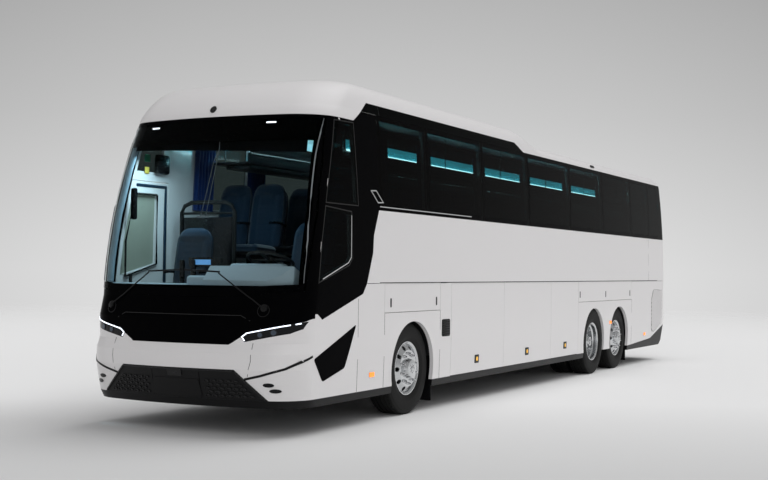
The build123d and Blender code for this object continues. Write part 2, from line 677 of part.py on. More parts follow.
LEG_DEPTH = 70.0         # legs down to the keel rails under the luggage bay
ahead = BAY_BULKHEADS[0] - 1
behind = BAY_BULKHEADS[1] + 1

with BuildPart() as chassis_frame:
    for side in (1, -1):
        x0, x1 = side * RAIL_X[0], side * RAIL_X[1]
        box_between(x0, x1, CROSS_MEMBERS[0], ahead, *RAIL_Z)
        box_between(side * NARROW_X[0], side * NARROW_X[1], FRAME_ENDS[0], CROSS_MEMBERS[0] + CROSS_WIDTH,
                    *RAIL_Z)
        box_between(x0, x1, behind, FRAME_ENDS[1], *RAIL_Z)
        box_between(x0, x1, ahead - LEG_DEPTH, ahead, KEEL_Z[0], RAIL_Z[1])
        box_between(x0, x1, behind, behind + LEG_DEPTH, KEEL_Z[0], RAIL_Z[1])
        box_between(x0, x1, ahead + SEAT_GAP, behind - SEAT_GAP, *KEEL_Z)
    for front in CROSS_MEMBERS:
        box_between(-RAIL_X[0] - 1, RAIL_X[0] + 1, front, front + CROSS_WIDTH,
                    RAIL_Z[0] + 20, RAIL_Z[1] - 20)
    for front in (FRAME_ENDS[0], FRAME_ENDS[1] - CROSS_WIDTH):
        box_between(-RAIL_X[1], RAIL_X[1], front, front + CROSS_WIDTH, *TOW_Z)
        tow_hole(TOW_BORE, front, front + CROSS_WIDTH)
save(chassis_frame.part, "chassis_frame")

BEAM_Z = (400.0, 500.0)
EYE_Z = (460.0, 570.0)
EYE_RADIUS = 38.0
KINGPIN_RADIUS = 20.0
EAR_GAP = 5.0
EAR_THICK = 35.0
BELLOWS_RADIUS = 65.0
bellows_x = sum(RAIL_X) / 2

with BuildPart() as front_axle_beam:
    box_between(-760, 760, FRONT_AXLE - 50, FRONT_AXLE + 50, *BEAM_Z)
    for side in (1, -1):
        box_between(side * 690, side * 760, FRONT_AXLE - 50, FRONT_AXLE + 50, BEAM_Z[0], EYE_Z[1])
        box_between(side * 740, side * KINGPIN_X, FRONT_AXLE - 32, FRONT_AXLE + 32, *EYE_Z)
        post(EYE_RADIUS, side * KINGPIN_X, FRONT_AXLE, *EYE_Z)
        post(KINGPIN_RADIUS + SPIN_CLEARANCE, side * KINGPIN_X, FRONT_AXLE, *EYE_Z, Mode.SUBTRACT)
        post(BELLOWS_RADIUS, side * bellows_x, FRONT_AXLE, BEAM_Z[1] - 1, RAIL_Z[0] - SEAT_GAP)
save(front_axle_beam.part, "front_axle_beam")

FRONT_SPINDLE_END = FRONT_WHEEL_X + 105
plate_x = KINGPIN_X + EYE_RADIUS + EAR_GAP
for side, sign in (("left", 1), ("right", -1)):
    with BuildPart() as knuckle:
        post(KINGPIN_RADIUS, sign * KINGPIN_X, FRONT_AXLE, EYE_Z[0] - EAR_THICK, EYE_Z[1] + EAR_THICK)
        for foot in (EYE_Z[0] - EAR_GAP - EAR_THICK, EYE_Z[1] + EAR_GAP):
            box_between(sign * (KINGPIN_X - 35), sign * (plate_x + 1), FRONT_AXLE - 35, FRONT_AXLE + 35,
                        foot, foot + EAR_THICK)
        box_between(sign * plate_x, sign * (plate_x + 30), FRONT_AXLE - 70, FRONT_AXLE + 70,
                    EYE_Z[0] - EAR_GAP - EAR_THICK, EYE_Z[1] + EAR_GAP + EAR_THICK)
        cross_cylinder(SPINDLE_RADIUS, sign * (plate_x + 1), sign * FRONT_SPINDLE_END, FRONT_AXLE, HUB_Z)
    save(knuckle.part, f"knuckle_{side}")

# Rear axles. Columns: name, place along Y, tube radius, tube end, spindle end, radius at the middle
for name, axle, tube, tube_end, spindle_end, casing in (
    ("drive_axle", DRIVE_AXLE, 75, 600, DRIVE_WHEEL_X + 5, 200),
    ("tag_axle", TAG_AXLE, 60, TAG_WHEEL_X - 20, TAG_WHEEL_X + 105, 90),
):
    with BuildPart() as rear_axle:
        cross_cylinder(tube, -tube_end, tube_end, axle, HUB_Z)
        cross_cylinder(casing, -150, 150, axle, HUB_Z)
        cross_cylinder(SPINDLE_RADIUS, -spindle_end, spindle_end, axle, HUB_Z)
        for side in (1, -1):
            box_between(side * 360, side * 470, axle - 270, axle + 270, HUB_Z - 30, HUB_Z + 20)
            for place in (axle - 180, axle + 180):
                post(BELLOWS_RADIUS, side * bellows_x, place, HUB_Z + 19, RAIL_Z[0] - SEAT_GAP)
    save(rear_axle.part, name)

# ---------------------------------------------------------------- wheels
# Sections of the wheels, as (distance outward from the tyre's middle plane, radius).
BARREL = (
    (-125, 300), (-113, 300), (-106, 286), (-58, 284), (-40, 264), (40, 264), (58, 284), (106, 286),
    (113, 300), (125, 300), (125, 291), (112, 274), (62, 272), (44, 252), (-44, 252), (-62, 272),
    (-112, 274), (-125, 291),
)
SPINDLE_BORE = SPINDLE_RADIUS + SPIN_CLEARANCE
SINGLE_DISC = (
    (-8, SPINDLE_BORE), (-8, 100), (126, 100), (126, 196), (72, 268), (72, 276), (96, 276), (142, 206),
    (142, 112), (190, 96), (196, 60), (196, 0), (115, 0), (115, SPINDLE_BORE),
)
TWIN_DISC = ((-72, 276), (-72, 270), (-150, 200), (-150, 100), (-165, 100), (-165, 206), (-96, 276))
TWIN_HUB = (
    (-480, SPINDLE_BORE), (-480, 110), (40, 110), (60, 80), (90, 70), (90, 0), (10, 0), (10, SPINDLE_BORE),
)
TYRE_HALF = (
    (0, TYRE_RADIUS), (112, TYRE_RADIUS), (128, 506), (137, 486), (146, 440), (TYRE_WIDTH / 2, 400),
    (142, 350), (126, 310), (112, 301.2), (104, 286.4), (66, 286.4), (66, 302), (98, 330), (121, 362),
    (129, 400), (125, 450), (112, 484), (0, 492),
)
HAND_HOLES = 10
HAND_HOLE_RADIUS = 26.0
HAND_HOLE_CIRCLE = 236.0


def turned(sections):
    """Solid of revolution about X over closed (x, radius) sections."""
    with BuildPart() as solid:
        with BuildSketch(Plane.XY) as section:
            for points in sections:
                with BuildLine():
                    Polyline(*points, close=True)
                make_face()
        revolve(section.sketch, axis=Axis.X)
    return solid.part


def shifted(points, run):
    return [(x + run, r) for x, r in points]


def reversed_section(points, run):
    return [(run - x, r) for x, r in points]


tyre_section = [*TYRE_HALF, *[(-x, r) for x, r in reversed(TYRE_HALF[1:-1])]]
single_wheel = turned([BARREL, SINGLE_DISC])
twin_wheel = turned([BARREL, shifted(BARREL, -TWIN_SPACING), TWIN_DISC,
                     reversed_section(TWIN_DISC, -TWIN_SPACING), TWIN_HUB])
# Wheels. Columns: name, middle plane of the outer tyre, axle, wheel, tyres, hand holes from and to
WHEELS = (
    ("front", FRONT_WHEEL_X, FRONT_AXLE, single_wheel, (0,), 64, 150),
    ("drive", DRIVE_WHEEL_X, DRIVE_AXLE, twin_wheel, (0, -TWIN_SPACING), -266, -64),
    ("tag", TAG_WHEEL_X, TAG_AXLE, single_wheel, (0,), 64, 150),
)

for name, wheel_x, axle, wheel, tyres, hole_from, hole_to in WHEELS:
    with BuildPart() as rim:
        add(wheel)
        with BuildSketch(Plane.YZ.offset(hole_from)):
            with PolarLocations(HAND_HOLE_CIRCLE, HAND_HOLES):
                Circle(HAND_HOLE_RADIUS)
        extrude(amount=hole_to - hole_from, mode=Mode.SUBTRACT)
    tyre = turned([shifted(tyre_section, run) for run in tyres])
    for side, sign in (("left", 1), ("right", -1)):
        for part, kind in ((rim.part, "rim"), (tyre, "tyre")):
            placed = Pos(sign * wheel_x, axle, HUB_Z) * (part if sign > 0 else mirror(part, about=Plane.YZ))
            save(placed, f"{name}_{kind}_{side}")

# ---------------------------------------------------------------- floors and steps
PASSENGER_FRONT = NOSE + 1900
WELL_REAR = NOSE + 1420
WELL_FRONT = NOSE + 520
STAIR_FRONT = NOSE + 790
AISLE_X = (-250.0, 350.0)
GUIDE_X = -700.0
SHEET = 20.0
# Steps from the door in. Columns: outer edge, inner edge, height
STEPS = ((-850.0, -550.0, 607.0), (-550.0, AISLE_X[0], 784.0))
AISLE_STEP = (NOSE + 1620, 1205.0)

with BuildPart() as cabin_floor:
    foot = FLOOR_TOP - FLOOR_THICK
    low = COCKPIT_TOP - FLOOR_THICK
    well = FIRST_STEP - FLOOR_THICK
    box_between(-FAR, FAR, PASSENGER_FRONT, FAR, foot, FLOOR_TOP)
    box_between(-FAR, AISLE_X[0], WELL_REAR, PASSENGER_FRONT + 1, foot, FLOOR_TOP)
    box_between(AISLE_X[0] - SHEET, FAR, PASSENGER_FRONT, PASSENGER_FRONT + SHEET, low, FLOOR_TOP)
    box_between(AISLE_X[0] - SHEET, AISLE_X[0], WELL_REAR, PASSENGER_FRONT + 1, low, FLOOR_TOP)
    box_between(AISLE_X[0], FAR, -FAR, PASSENGER_FRONT + 1, low, COCKPIT_TOP)
    box_between(GUIDE_X, AISLE_X[0] + 1, -FAR, STAIR_FRONT, low, COCKPIT_TOP)
    box_between(*AISLE_X, AISLE_STEP[0], PASSENGER_FRONT + 1, AISLE_STEP[1] - FLOOR_THICK, AISLE_STEP[1])
    box_between(*AISLE_X, AISLE_STEP[0], AISLE_STEP[0] + SHEET, COCKPIT_TOP - 1, AISLE_STEP[1])
    # door well
    box_between(-FAR, STEPS[0][0], WELL_FRONT, WELL_REAR, well, FIRST_STEP)
    box_between(STEPS[0][0] - 1, GUIDE_X, WELL_FRONT, STAIR_FRONT, well, FIRST_STEP)
    box_between(-FAR, GUIDE_X, WELL_FRONT - SHEET, WELL_FRONT, well, COCKPIT_TOP)
    box_between(GUIDE_X - SHEET, GUIDE_X + 1, WELL_FRONT - SHEET, STAIR_FRONT, well, COCKPIT_TOP)
    box_between(STEPS[0][0] - SHEET, AISLE_X[0], STAIR_FRONT - SHEET, STAIR_FRONT, well, COCKPIT_TOP)
    box_between(-FAR, AISLE_X[0], WELL_REAR, WELL_REAR + SHEET, well, FLOOR_TOP)
    for outer, inner, height in STEPS:
        box_between(outer - SHEET, inner, STAIR_FRONT - 1, WELL_REAR + 1, height - FLOOR_THICK, height)
        box_between(outer - SHEET, outer, STAIR_FRONT - 1, WELL_REAR + 1, height - 207, height)
    box_between(AISLE_X[0] - SHEET, AISLE_X[0] + 1, STAIR_FRONT - 1, WELL_REAR + 1, 754, COCKPIT_TOP)
    add(room, mode=Mode.INTERSECT)
save(cabin_floor.part, "cabin_floor")

# ---------------------------------------------------------------- luggage bay and wheel housings
HOUSING_FOOT = 620.0
HOUSING_SHEET = 20.0
# Wheel housings. Columns: first axle, last axle, inner radius, inner wall
HOUSINGS = ((FRONT_AXLE, FRONT_AXLE, 600.0, 485.0), (DRIVE_AXLE, TAG_AXLE, 580.0, 560.0))
under_floor = FLOOR_TOP - FLOOR_THICK - SEAT_GAP
bay_foot = BAY_FLOOR - FLOOR_THICK
POST_X = (1150.0, 1205.0)
POST_HALF = 30.0
# The front housings are made up of bent sheets that meet at these runs before and behind the axle
HOUSING_SEAMS = (60.0, 300.0, 520.0)

with BuildPart() as underbody:
    box_between(-FAR, FAR, BAY_BULKHEADS[0] + SHEET + SEAT_GAP, BAY_BULKHEADS[1] - SHEET - SEAT_GAP,
                bay_foot, BAY_FLOOR)
    # the posts and bulkheads stand beside the bay floor, which is notched round the posts
    for side in (1, -1):
        for seam in DOOR_SEAMS[1:-1]:
            notch = POST_HALF + SEAT_GAP
            box_between(side * (POST_X[0] - SEAT_GAP), side * FAR, seam - notch, seam + notch,
                        bay_foot - 1, BAY_FLOOR + 1, Mode.SUBTRACT)
            box_between(side * POST_X[0], side * POST_X[1], seam - POST_HALF, seam + POST_HALF,
                        bay_foot, under_floor)
    box_between(-FAR, FAR, BAY_BULKHEADS[0], BAY_BULKHEADS[0] + SHEET, bay_foot, under_floor)
    box_between(-FAR, FAR, BAY_BULKHEADS[1] - SHEET, BAY_BULKHEADS[1], bay_foot, under_floor)
    for side in (1, -1):
        for first, last, radius, wall_x in HOUSINGS:
            outer = radius + HOUSING_SHEET
            x0 = side * wall_x
            for axle in {first, last}:
                cross_cylinder(outer, x0, side * HALF_WIDTH, axle, HUB_Z)
                box_between(side * 750, side * 950, axle - 20, axle + 20, HUB_Z + outer - 10, under_floor)
            if last > first:
                box_between(x0, side * HALF_WIDTH, first, last, HUB_Z, HUB_Z + outer)
            inner = side * (wall_x + HOUSING_SHEET)
            for axle in {first, last}:
                cross_cylinder(radius, inner, side * FAR, axle, HUB_Z, Mode.SUBTRACT)
            if last > first:
                box_between(inner, side * FAR, first, last, 0, HUB_Z + radius, Mode.SUBTRACT)
            else:
                box_between(inner, inner + side * SEAT_GAP, first - outer - 1, first + outer + 1,
                            HUB_Z, HUB_Z + outer + 1, Mode.SUBTRACT)
                for run in HOUSING_SEAMS:
                    for seam in (first - run, first + run):
                        box_between(inner, side * FAR, seam - SEAT_GAP / 2, seam + SEAT_GAP / 2,
                                    HUB_Z, HUB_Z + outer + 1, Mode.SUBTRACT)
    for first, last, radius, wall_x in HOUSINGS:
        box_between(-FAR, FAR, first - radius - 50, last + radius + 50, 0, HOUSING_FOOT, Mode.SUBTRACT)
    add(room, mode=Mode.INTERSECT)
save(underbody.part, "underbody")

# Mudflaps. Columns: place along Y, inner edge
with BuildPart() as mudflaps:
    for place, inner in ((FRONT_AXLE + 600, 920), (TAG_AXLE + 580, 920)):
        for side in (1, -1):
            box_between(side * inner, side * 1205, place - 4, place + 4, 100, HOUSING_FOOT - SEAT_GAP)
save(mudflaps.part, "mudflaps")

with BuildPart() as engine:
    box_between(-RAIL_X[0] + SEAT_GAP, RAIL_X[0] - SEAT_GAP, TAIL - 1950, TAIL - 550, 500, 1300)
save(engine.part, "engine")

# ---------------------------------------------------------------- dashboard and steering wheel
DASH_TOP = 1420.0
DASH_REAR = NOSE + 460
CONSOLE = [(NOSE + run, z) for run, z in ((250, 1410), (250, 1500), (370, 1640), (530, 1560), (550, 1410))]
CONSOLE_X = (150.0, 1130.0)
WHEEL_CENTRE = (650.0, NOSE + 700, 1700.0)
COLUMN_LEAN = radians(20)
COLUMN_RADIUS = 42.0
SHAFT_RADIUS = 20.0
SHAFT_LENGTH = 260.0
COLUMN_TOP = 150.0       # from the wheel down to the top of the column tube
column_axis = (0, sin(COLUMN_LEAN), cos(COLUMN_LEAN))


def on_column(run):
    """Plane square to the steering column, this far from the wheel's centre along the axis."""
    origin = tuple(c + run * a for c, a in zip(WHEEL_CENTRE, column_axis))
    return Plane(origin=origin, z_dir=column_axis)


column_length = (WHEEL_CENTRE[2] - COCKPIT_TOP - 20) / cos(COLUMN_LEAN)
with BuildPart() as dashboard:
    box_between(-FAR, FAR, -FAR, DASH_REAR, DASH_TOP - 90, DASH_TOP)
    box_between(-FAR, FAR, DASH_REAR - 30, DASH_REAR, COCKPIT_TOP + SEAT_GAP, DASH_TOP)
    side_prism([CONSOLE], *CONSOLE_X)
    add(room, mode=Mode.INTERSECT)
    with BuildSketch(on_column(-column_length)):
        Circle(COLUMN_RADIUS)
    extrude(amount=column_length - COLUMN_TOP)
    with BuildSketch(on_column(-SHAFT_LENGTH - 5)):
        Circle(SHAFT_RADIUS + SPIN_CLEARANCE)
    extrude(amount=SHAFT_LENGTH, mode=Mode.SUBTRACT)
save(dashboard.part, "dashboard")

with BuildPart() as steering_wheel:
    with Locations(on_column(0)):
        Torus(232, 16)
        Cylinder(55, 40)
        Box(464, 44, 14)
        Box(44, 464, 14)
    with BuildSketch(on_column(-SHAFT_LENGTH)):
        Circle(SHAFT_RADIUS)
    extrude(amount=SHAFT_LENGTH)
save(steering_wheel.part, "steering_wheel")

# ---------------------------------------------------------------- seats
# Side view of a seat as (y, z) from the foot of its back, with the floor at 0.
SEAT_PROFILE = (
    (-460, 330), (-475, 395), (-445, 432), (-50, 405), (20, 760), (75, 1085), (105, 1100), (160, 1090),
    (165, 1050), (110, 700), (60, 330),
)
GUIDE_PROFILE = (
    (-280, 330), (-290, 400), (-40, 405), (5, 700), (40, 1040), (60, 1060), (120, 1050), (125, 1000),
    (80, 650), (50, 330),
)
SEAT_ROWS = 14
SEAT_PITCH = 790.0
FIRST_ROW = NOSE + 2280
SEAT_WIDTH = 440.0
SEAT_X = (470.0, 930.0)
LEG_WIDTH = 60.0


def seat(profile, x, y, floor, width, leg_width, leg_y):
    """One seat on its pedestal, in the open BuildPart."""
    side_prism([[(y + dy, floor + dz) for dy, dz in profile]], x - width / 2, x + width / 2)
    box_between(x - leg_width / 2, x + leg_width / 2, y + leg_y[0], y + leg_y[1],
                floor + SEAT_GAP, floor + 340)


for side, sign in (("left", 1), ("right", -1)):
    with BuildPart() as passenger_seats:
        for row in range(SEAT_ROWS):
            for seat_x in SEAT_X:
                seat(SEAT_PROFILE, sign * seat_x, FIRST_ROW + row * SEAT_PITCH, FLOOR_TOP, SEAT_WIDTH,
                     LEG_WIDTH, (-340, 20))
    save(passenger_seats.part, f"passenger_seats_{side}")

with BuildPart() as crew_seats:
    seat(SEAT_PROFILE, WHEEL_CENTRE[0], NOSE + 1450, COCKPIT_TOP, 480, 400, (-400, 20))
    seat(GUIDE_PROFILE, -420, NOSE + 765, COCKPIT_TOP, 400, 200, (-210, 20))
save(crew_seats.part, "crew_seats")

# ---------------------------------------------------------------- racks, curtains and wipers
RACK_X = (600.0, 1120.0)
RACK_Y = (NOSE + 2150, TAIL - 650)
RACK_Z = 2830.0
RACK_LIP = 25.0
HANGERS = [RACK_Y[0] + 100 + 1795 * step for step in range(7)]

with BuildPart() as luggage_racks:
    for side in (1, -1):
        shelf_edge = RACK_X[0] + RACK_LIP
        box_between(side * RACK_X[0], side * shelf_edge, *RACK_Y, RACK_Z, RACK_Z + 130)
        box_between(side * (shelf_edge + SEAT_GAP), side * RACK_X[1], *RACK_Y, RACK_Z, RACK_Z + FLOOR_THICK)
        for place in HANGERS:
            box_between(side * 1000, side * 1030, place, place + 30, RACK_Z + FLOOR_THICK + SEAT_GAP,
                        CEILING - SEAT_GAP)
save(luggage_racks.part, "luggage_racks")

CURTAIN_THICK = 45.0
CURTAIN_WIDTH = 160.0
CURTAIN_Z = (2150.0, RACK_Z - 10)
with BuildPart() as curtain_skin:
    add(body_solid(WALL + SEAT_GAP, inside=True))
    add(body_solid(WALL + CURTAIN_THICK, inside=True), mode=Mode.SUBTRACT)

with BuildPart() as curtains:
    add(curtain_skin.part)
    strips = [rectangle(joint + 10, joint + CURTAIN_WIDTH, *CURTAIN_Z) for joint in PANE_JOINTS[:1]]
    strips += [rectangle(joint - CURTAIN_WIDTH / 2, joint + CURTAIN_WIDTH / 2, *CURTAIN_Z)
               for joint in PANE_JOINTS[1:]]
    side_clip(strips, 1)
    mirror(about=Plane.YZ)
save(curtains.part, "curtains")

# One wiper in front view, as (x, z): the arm from its pivot under the glass, and the blade along it.
WIPER = (
    (905, 1222), (940, 1240), (430, 1568), (430, 1592), (20, 1606), (20, 1590), (400, 1577), (400, 1550),
)
with BuildPart() as wiper_skin:
    add(body_solid(-24))
    add(body_solid(-SEAT_GAP), mode=Mode.SUBTRACT)

with BuildPart() as wipers:
    add(wiper_skin.part)
    front_clip([WIPER], reach=LAMP_REACH)
    mirror(about=Plane.YZ)
save(wipers.part, "wipers")
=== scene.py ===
"""A three-axle touring coach dressed for rendering.

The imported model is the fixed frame. Body panels, glass and rims keep their own meshes and get
finishes; tyres, seats and curtains are modelled here; trim, lamps and grilles are laid on the body.
All lengths are metres: the nose points to -Y, the driver's side is +X, the ground is z = 0.
"""

from __future__ import annotations

import json
import logging
import math
from dataclasses import dataclass, field
from enum import Enum
from typing import Any, Callable, Iterable, Sequence

import bmesh
import bpy
from mathutils import Matrix, Vector
from mathutils.bvhtree import BVHTree

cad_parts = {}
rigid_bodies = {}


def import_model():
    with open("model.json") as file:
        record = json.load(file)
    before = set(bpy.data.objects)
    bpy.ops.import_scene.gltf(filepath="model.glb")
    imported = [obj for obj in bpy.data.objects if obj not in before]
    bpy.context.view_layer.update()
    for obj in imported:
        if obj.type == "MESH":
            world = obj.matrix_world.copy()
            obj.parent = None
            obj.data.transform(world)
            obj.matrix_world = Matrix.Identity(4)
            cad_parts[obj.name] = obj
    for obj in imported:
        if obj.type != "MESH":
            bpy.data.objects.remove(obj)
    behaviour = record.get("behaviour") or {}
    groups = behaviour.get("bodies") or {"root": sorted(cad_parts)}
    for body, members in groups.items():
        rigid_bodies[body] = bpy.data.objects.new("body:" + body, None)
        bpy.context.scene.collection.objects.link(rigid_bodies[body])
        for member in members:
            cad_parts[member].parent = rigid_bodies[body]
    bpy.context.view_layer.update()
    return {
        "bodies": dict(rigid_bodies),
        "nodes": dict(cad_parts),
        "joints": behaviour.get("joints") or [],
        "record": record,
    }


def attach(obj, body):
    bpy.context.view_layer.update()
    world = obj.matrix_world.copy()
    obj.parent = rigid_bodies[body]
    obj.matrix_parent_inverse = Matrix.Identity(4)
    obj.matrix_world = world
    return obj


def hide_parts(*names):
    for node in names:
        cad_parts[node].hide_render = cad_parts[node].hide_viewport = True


log = logging.getLogger("coach")

NOSE = -6.85
FRONT_AXLE = NOSE + 2.703
DRIVE_AXLE = FRONT_AXLE + 6.55
TAG_AXLE = DRIVE_AXLE + 1.365
HUB_Z = 0.515
BELT = 1.47
SILL = 2.25
GUTTER = 3.27
FLOOR = 1.45
COCKPIT_FLOOR = 0.96
SIDES = (("left", 1), ("right", -1))
# Luggage racks: ends along Y, lip and shelf across X, foot, heads of shelf and lip, ceiling
RACK_ENDS = (-4.70, 6.20)
RACK_LIP = (0.600, 0.625)
RACK_SHELF = (0.6253, 1.12)
RACK_FOOT, SHELF_HEAD, LIP_HEAD, CEILING = 2.83, 2.86, 2.96, 3.299
# Planes of the stair's hoop rail, of the rail behind the driver, and of the entry door's lining
HOOP_Y, PARTITION_Y, DOOR_LINING_X = -5.40, -4.93, -1.213
PANE_JOINTS = tuple(NOSE + run for run in (1.86, 3.06, 4.695, 6.325, 8.1, 9.725, 11.335, 12.49))

Point2 = tuple[float, float]


# ------------------------------------------------------------------------------ nodes and finishes
def linear(tone: str) -> tuple[float, float, float, float]:
    """Turn an sRGB hex tone into linear colour with full alpha.

    Args:
        tone: six hex digits with a leading hash.

    Returns:
        Red, green, blue and alpha.
    """
    parts = [int(tone[i:i + 2], 16) / 255 for i in (1, 3, 5)]
    return tuple([p / 12.92 if p <= 0.04045 else ((p + 0.055) / 1.055) ** 2.4 for p in parts] + [1.0])


def add_node(tree: bpy.types.NodeTree, kind: str, inputs: dict | None = None, **settings: Any) -> bpy.types.Node:
    """Add one node with its settings, values and links.

    Args:
        tree: the tree to add to.
        kind: the node's type name.
        inputs: socket name or number to a value, or to the socket that feeds it.
        settings: attributes of the node.

    Returns:
        The new node.
    """
    node = tree.nodes.new(kind)
    for name, value in settings.items():
        setattr(node, name, value)
    for name, value in (inputs or {}).items():
        if isinstance(value, bpy.types.NodeSocket):
            tree.links.new(value, node.inputs[name])
        else:
            node.inputs[name].default_value = value
    return node


class Grain(Enum):
    """How the surface of a finish varies."""

    CLOUD = "cloud"
    WEAVE = "weave"
    BRUSH = "brush"
    PEBBLE = "pebble"
    RIB = "rib"


@dataclass(frozen=True)
class Finish:
    """One real finish: two close tones, a roughness range and a fine relief."""

    name: str
    tone: str
    tone_2: str
    roughness: float = 0.5
    spread: float = 0.05
    grain: Grain = Grain.CLOUD
    grain_mm: float = 60.0
    relief_mm: float = 0.0
    metallic: float = 0.0
    coat: float = 0.0
    sheen: float = 0.0
    clear: float = 0.0
    ior: float = 1.5
    glow: float = 0.0

    def pattern(self, tree: bpy.types.NodeTree, place: bpy.types.NodeSocket) -> bpy.types.NodeSocket:
        """Build the pattern that drives tone, roughness and relief.

        Args:
            tree: the material's tree.
            place: object coordinates.

        Returns:
            A socket from 0 to 1.
        """
        scale = 1000.0 / self.grain_mm
        if self.grain is Grain.PEBBLE:
            cells = add_node(tree, "ShaderNodeTexVoronoi", {"Vector": place, "Scale": scale})
            return cells.outputs["Distance"]
        if self.grain is Grain.WEAVE:
            along = add_node(tree, "ShaderNodeTexWave", {"Vector": place, "Scale": scale, "Distortion": 0.6},
                             bands_direction="X")
            across = add_node(tree, "ShaderNodeTexWave", {"Vector": place, "Scale": scale, "Distortion": 0.6},
                              bands_direction="Z")
            both = add_node(tree, "ShaderNodeMath", {0: along.outputs["Fac"], 1: across.outputs["Fac"]},
                            operation="MULTIPLY")
            return both.outputs[0]
        if self.grain is Grain.RIB:
            ribs = add_node(tree, "ShaderNodeTexWave", {"Vector": place, "Scale": scale}, bands_direction="Y")
            return ribs.outputs["Fac"]
        stretch = (1.0, 1.0, 1.0)
        if self.grain is Grain.BRUSH:
            stretch = (0.06, 1.0, 1.0)
        mapped = add_node(tree, "ShaderNodeMapping", {"Vector": place, "Scale": stretch})
        noise = add_node(tree, "ShaderNodeTexNoise", {"Vector": mapped.outputs[0], "Scale": scale, "Detail": 3.0})
        return noise.outputs["Fac"]

    def make(self) -> bpy.types.Material:
        """Build the material.

        Returns:
            The material, named for the finish.
        """
        material = bpy.data.materials.new(self.name)
        material.use_nodes = True
        tree = material.node_tree
        tree.nodes.clear()
        place = add_node(tree, "ShaderNodeTexCoord").outputs["Object"]
        factor = self.pattern(tree, place)
        tone = add_node(tree, "ShaderNodeMix", {0: factor, 6: linear(self.tone), 7: linear(self.tone_2)},
                        data_type="RGBA")
        rough = add_node(tree, "ShaderNodeMapRange", {
            0: factor, 3: max(self.roughness - self.spread, 0.01), 4: min(self.roughness + self.spread, 1.0)})
        inputs = {
            "Base Color": tone.outputs[2], "Roughness": rough.outputs[0], "Metallic": self.metallic,
            "Coat Weight": self.coat, "Coat Roughness": 0.04, "Sheen Weight": self.sheen,
            "Transmission Weight": self.clear,
        }
        if not self.metallic:
            inputs["IOR"] = self.ior
        if self.glow:
            inputs["Emission Color"] = tone.outputs[2]
            inputs["Emission Strength"] = self.glow
        if self.relief_mm:
            bump = add_node(tree, "ShaderNodeBump", {
                "Height": factor, "Strength": 0.7, "Distance": self.relief_mm / 1000.0})
            inputs["Normal"] = bump.outputs[0]
        shader = add_node(tree, "ShaderNodeBsdfPrincipled", inputs)
        add_node(tree, "ShaderNodeOutputMaterial", {"Surface": shader.outputs[0]})
        return material


# Sprayed two-pack paint: a level pale grey white with a faint orange peel under a clear coat.
BODY_PAINT = Finish("polyurethane_paint_white", "#DCDADB", "#E0DEDE", 0.30, 0.04, grain_mm=14, relief_mm=0.02,
                    coat=0.25)
# Black enamel on glass and pillars: deep and mirror-like.
BLACK_ENAMEL = Finish("gloss_black_enamel", "#030304", "#060607", 0.08, 0.03, grain_mm=90, ior=1.05)
# Black moulded plastic with a fine spark texture: bumper insert, flaps and lids.
BLACK_PLASTIC = Finish("moulded_black_plastic", "#08080A", "#0F0F10", 0.42, 0.1, Grain.PEBBLE, 3.0, 0.12, ior=1.3)
# Satin black plastic of the grille cells, smoother, which catches the light.
GRILLE_PLASTIC = Finish("satin_black_plastic", "#0B0B0D", "#121214", 0.26, 0.05, grain_mm=20, ior=1.4)
# Dark rubber in the joints and window seals.
SEAL_RUBBER = Finish("epdm_rubber_seal", "#0B0B0B", "#131313", 0.7, 0.1, grain_mm=8)
# Tempered side glass, tinted nearly black.
TINTED_GLASS = Finish("tinted_tempered_glass", "#2E3635", "#363E3D", 0.02, 0.01, grain_mm=400, clear=1.0, ior=1.06)
# Laminated windscreen glass, clear with a blue green cast.
SCREEN_GLASS = Finish("laminated_clear_glass", "#E4EEEF", "#E9F2F3", 0.015, 0.005, grain_mm=400, clear=1.0, ior=1.05)
# Clear polycarbonate lens over a black reflector.
LAMP_BODY = Finish("smoked_polycarbonate", "#07080A", "#0E1013", 0.10, 0.04, grain_mm=12, ior=1.3)
LENS = Finish("clear_polycarbonate_lens", "#3C4550", "#525C68", 0.06, 0.03, grain_mm=6, metallic=0.6)
RED_LENS = Finish("red_acrylic_lens", "#7E0E10", "#9A1416", 0.14, 0.05, Grain.PEBBLE, 7.0, 0.4, coat=0.8)
AMBER_LENS = Finish("amber_acrylic_lens", "#FF7A1E", "#FF9A3A", 0.2, 0.05, Grain.PEBBLE, 5.0, 0.3, glow=0.8)
YELLOW_LENS = Finish("yellow_acrylic_lens", "#F0B43C", "#FFCB5A", 0.2, 0.05, Grain.PEBBLE, 5.0, 0.3, glow=0.35)
# Lit light guides: cold white by day at the front, cyan along the luggage racks.
DAY_LIGHT = Finish("lit_light_guide_white", "#DDE8FA", "#F4F8FF", 0.3, 0.05, grain_mm=40, glow=1.6)
RACK_LIGHT = Finish("lit_light_guide_cyan", "#B9EDF6", "#D2F8FF", 0.3, 0.05, grain_mm=60, glow=30.0)
# Polished forged aluminium of the rims, and chromed steel nuts and trims.
RIM_ALLOY = Finish("polished_forged_aluminium", "#C9CBCD", "#DADCDD", 0.16, 0.05, grain_mm=18, relief_mm=0.03,
                   metallic=1.0)
CHROME = Finish("chromed_steel", "#DDDEE0", "#E8E9EA", 0.07, 0.03, grain_mm=30, metallic=1.0)
# Tyre rubber: carbon black, dry, with fine mould texture.
TYRE_RUBBER = Finish("vulcanised_tyre_rubber", "#0A0A0A", "#141413", 0.66, 0.1, Grain.PEBBLE, 4.0, 0.25, ior=1.35)
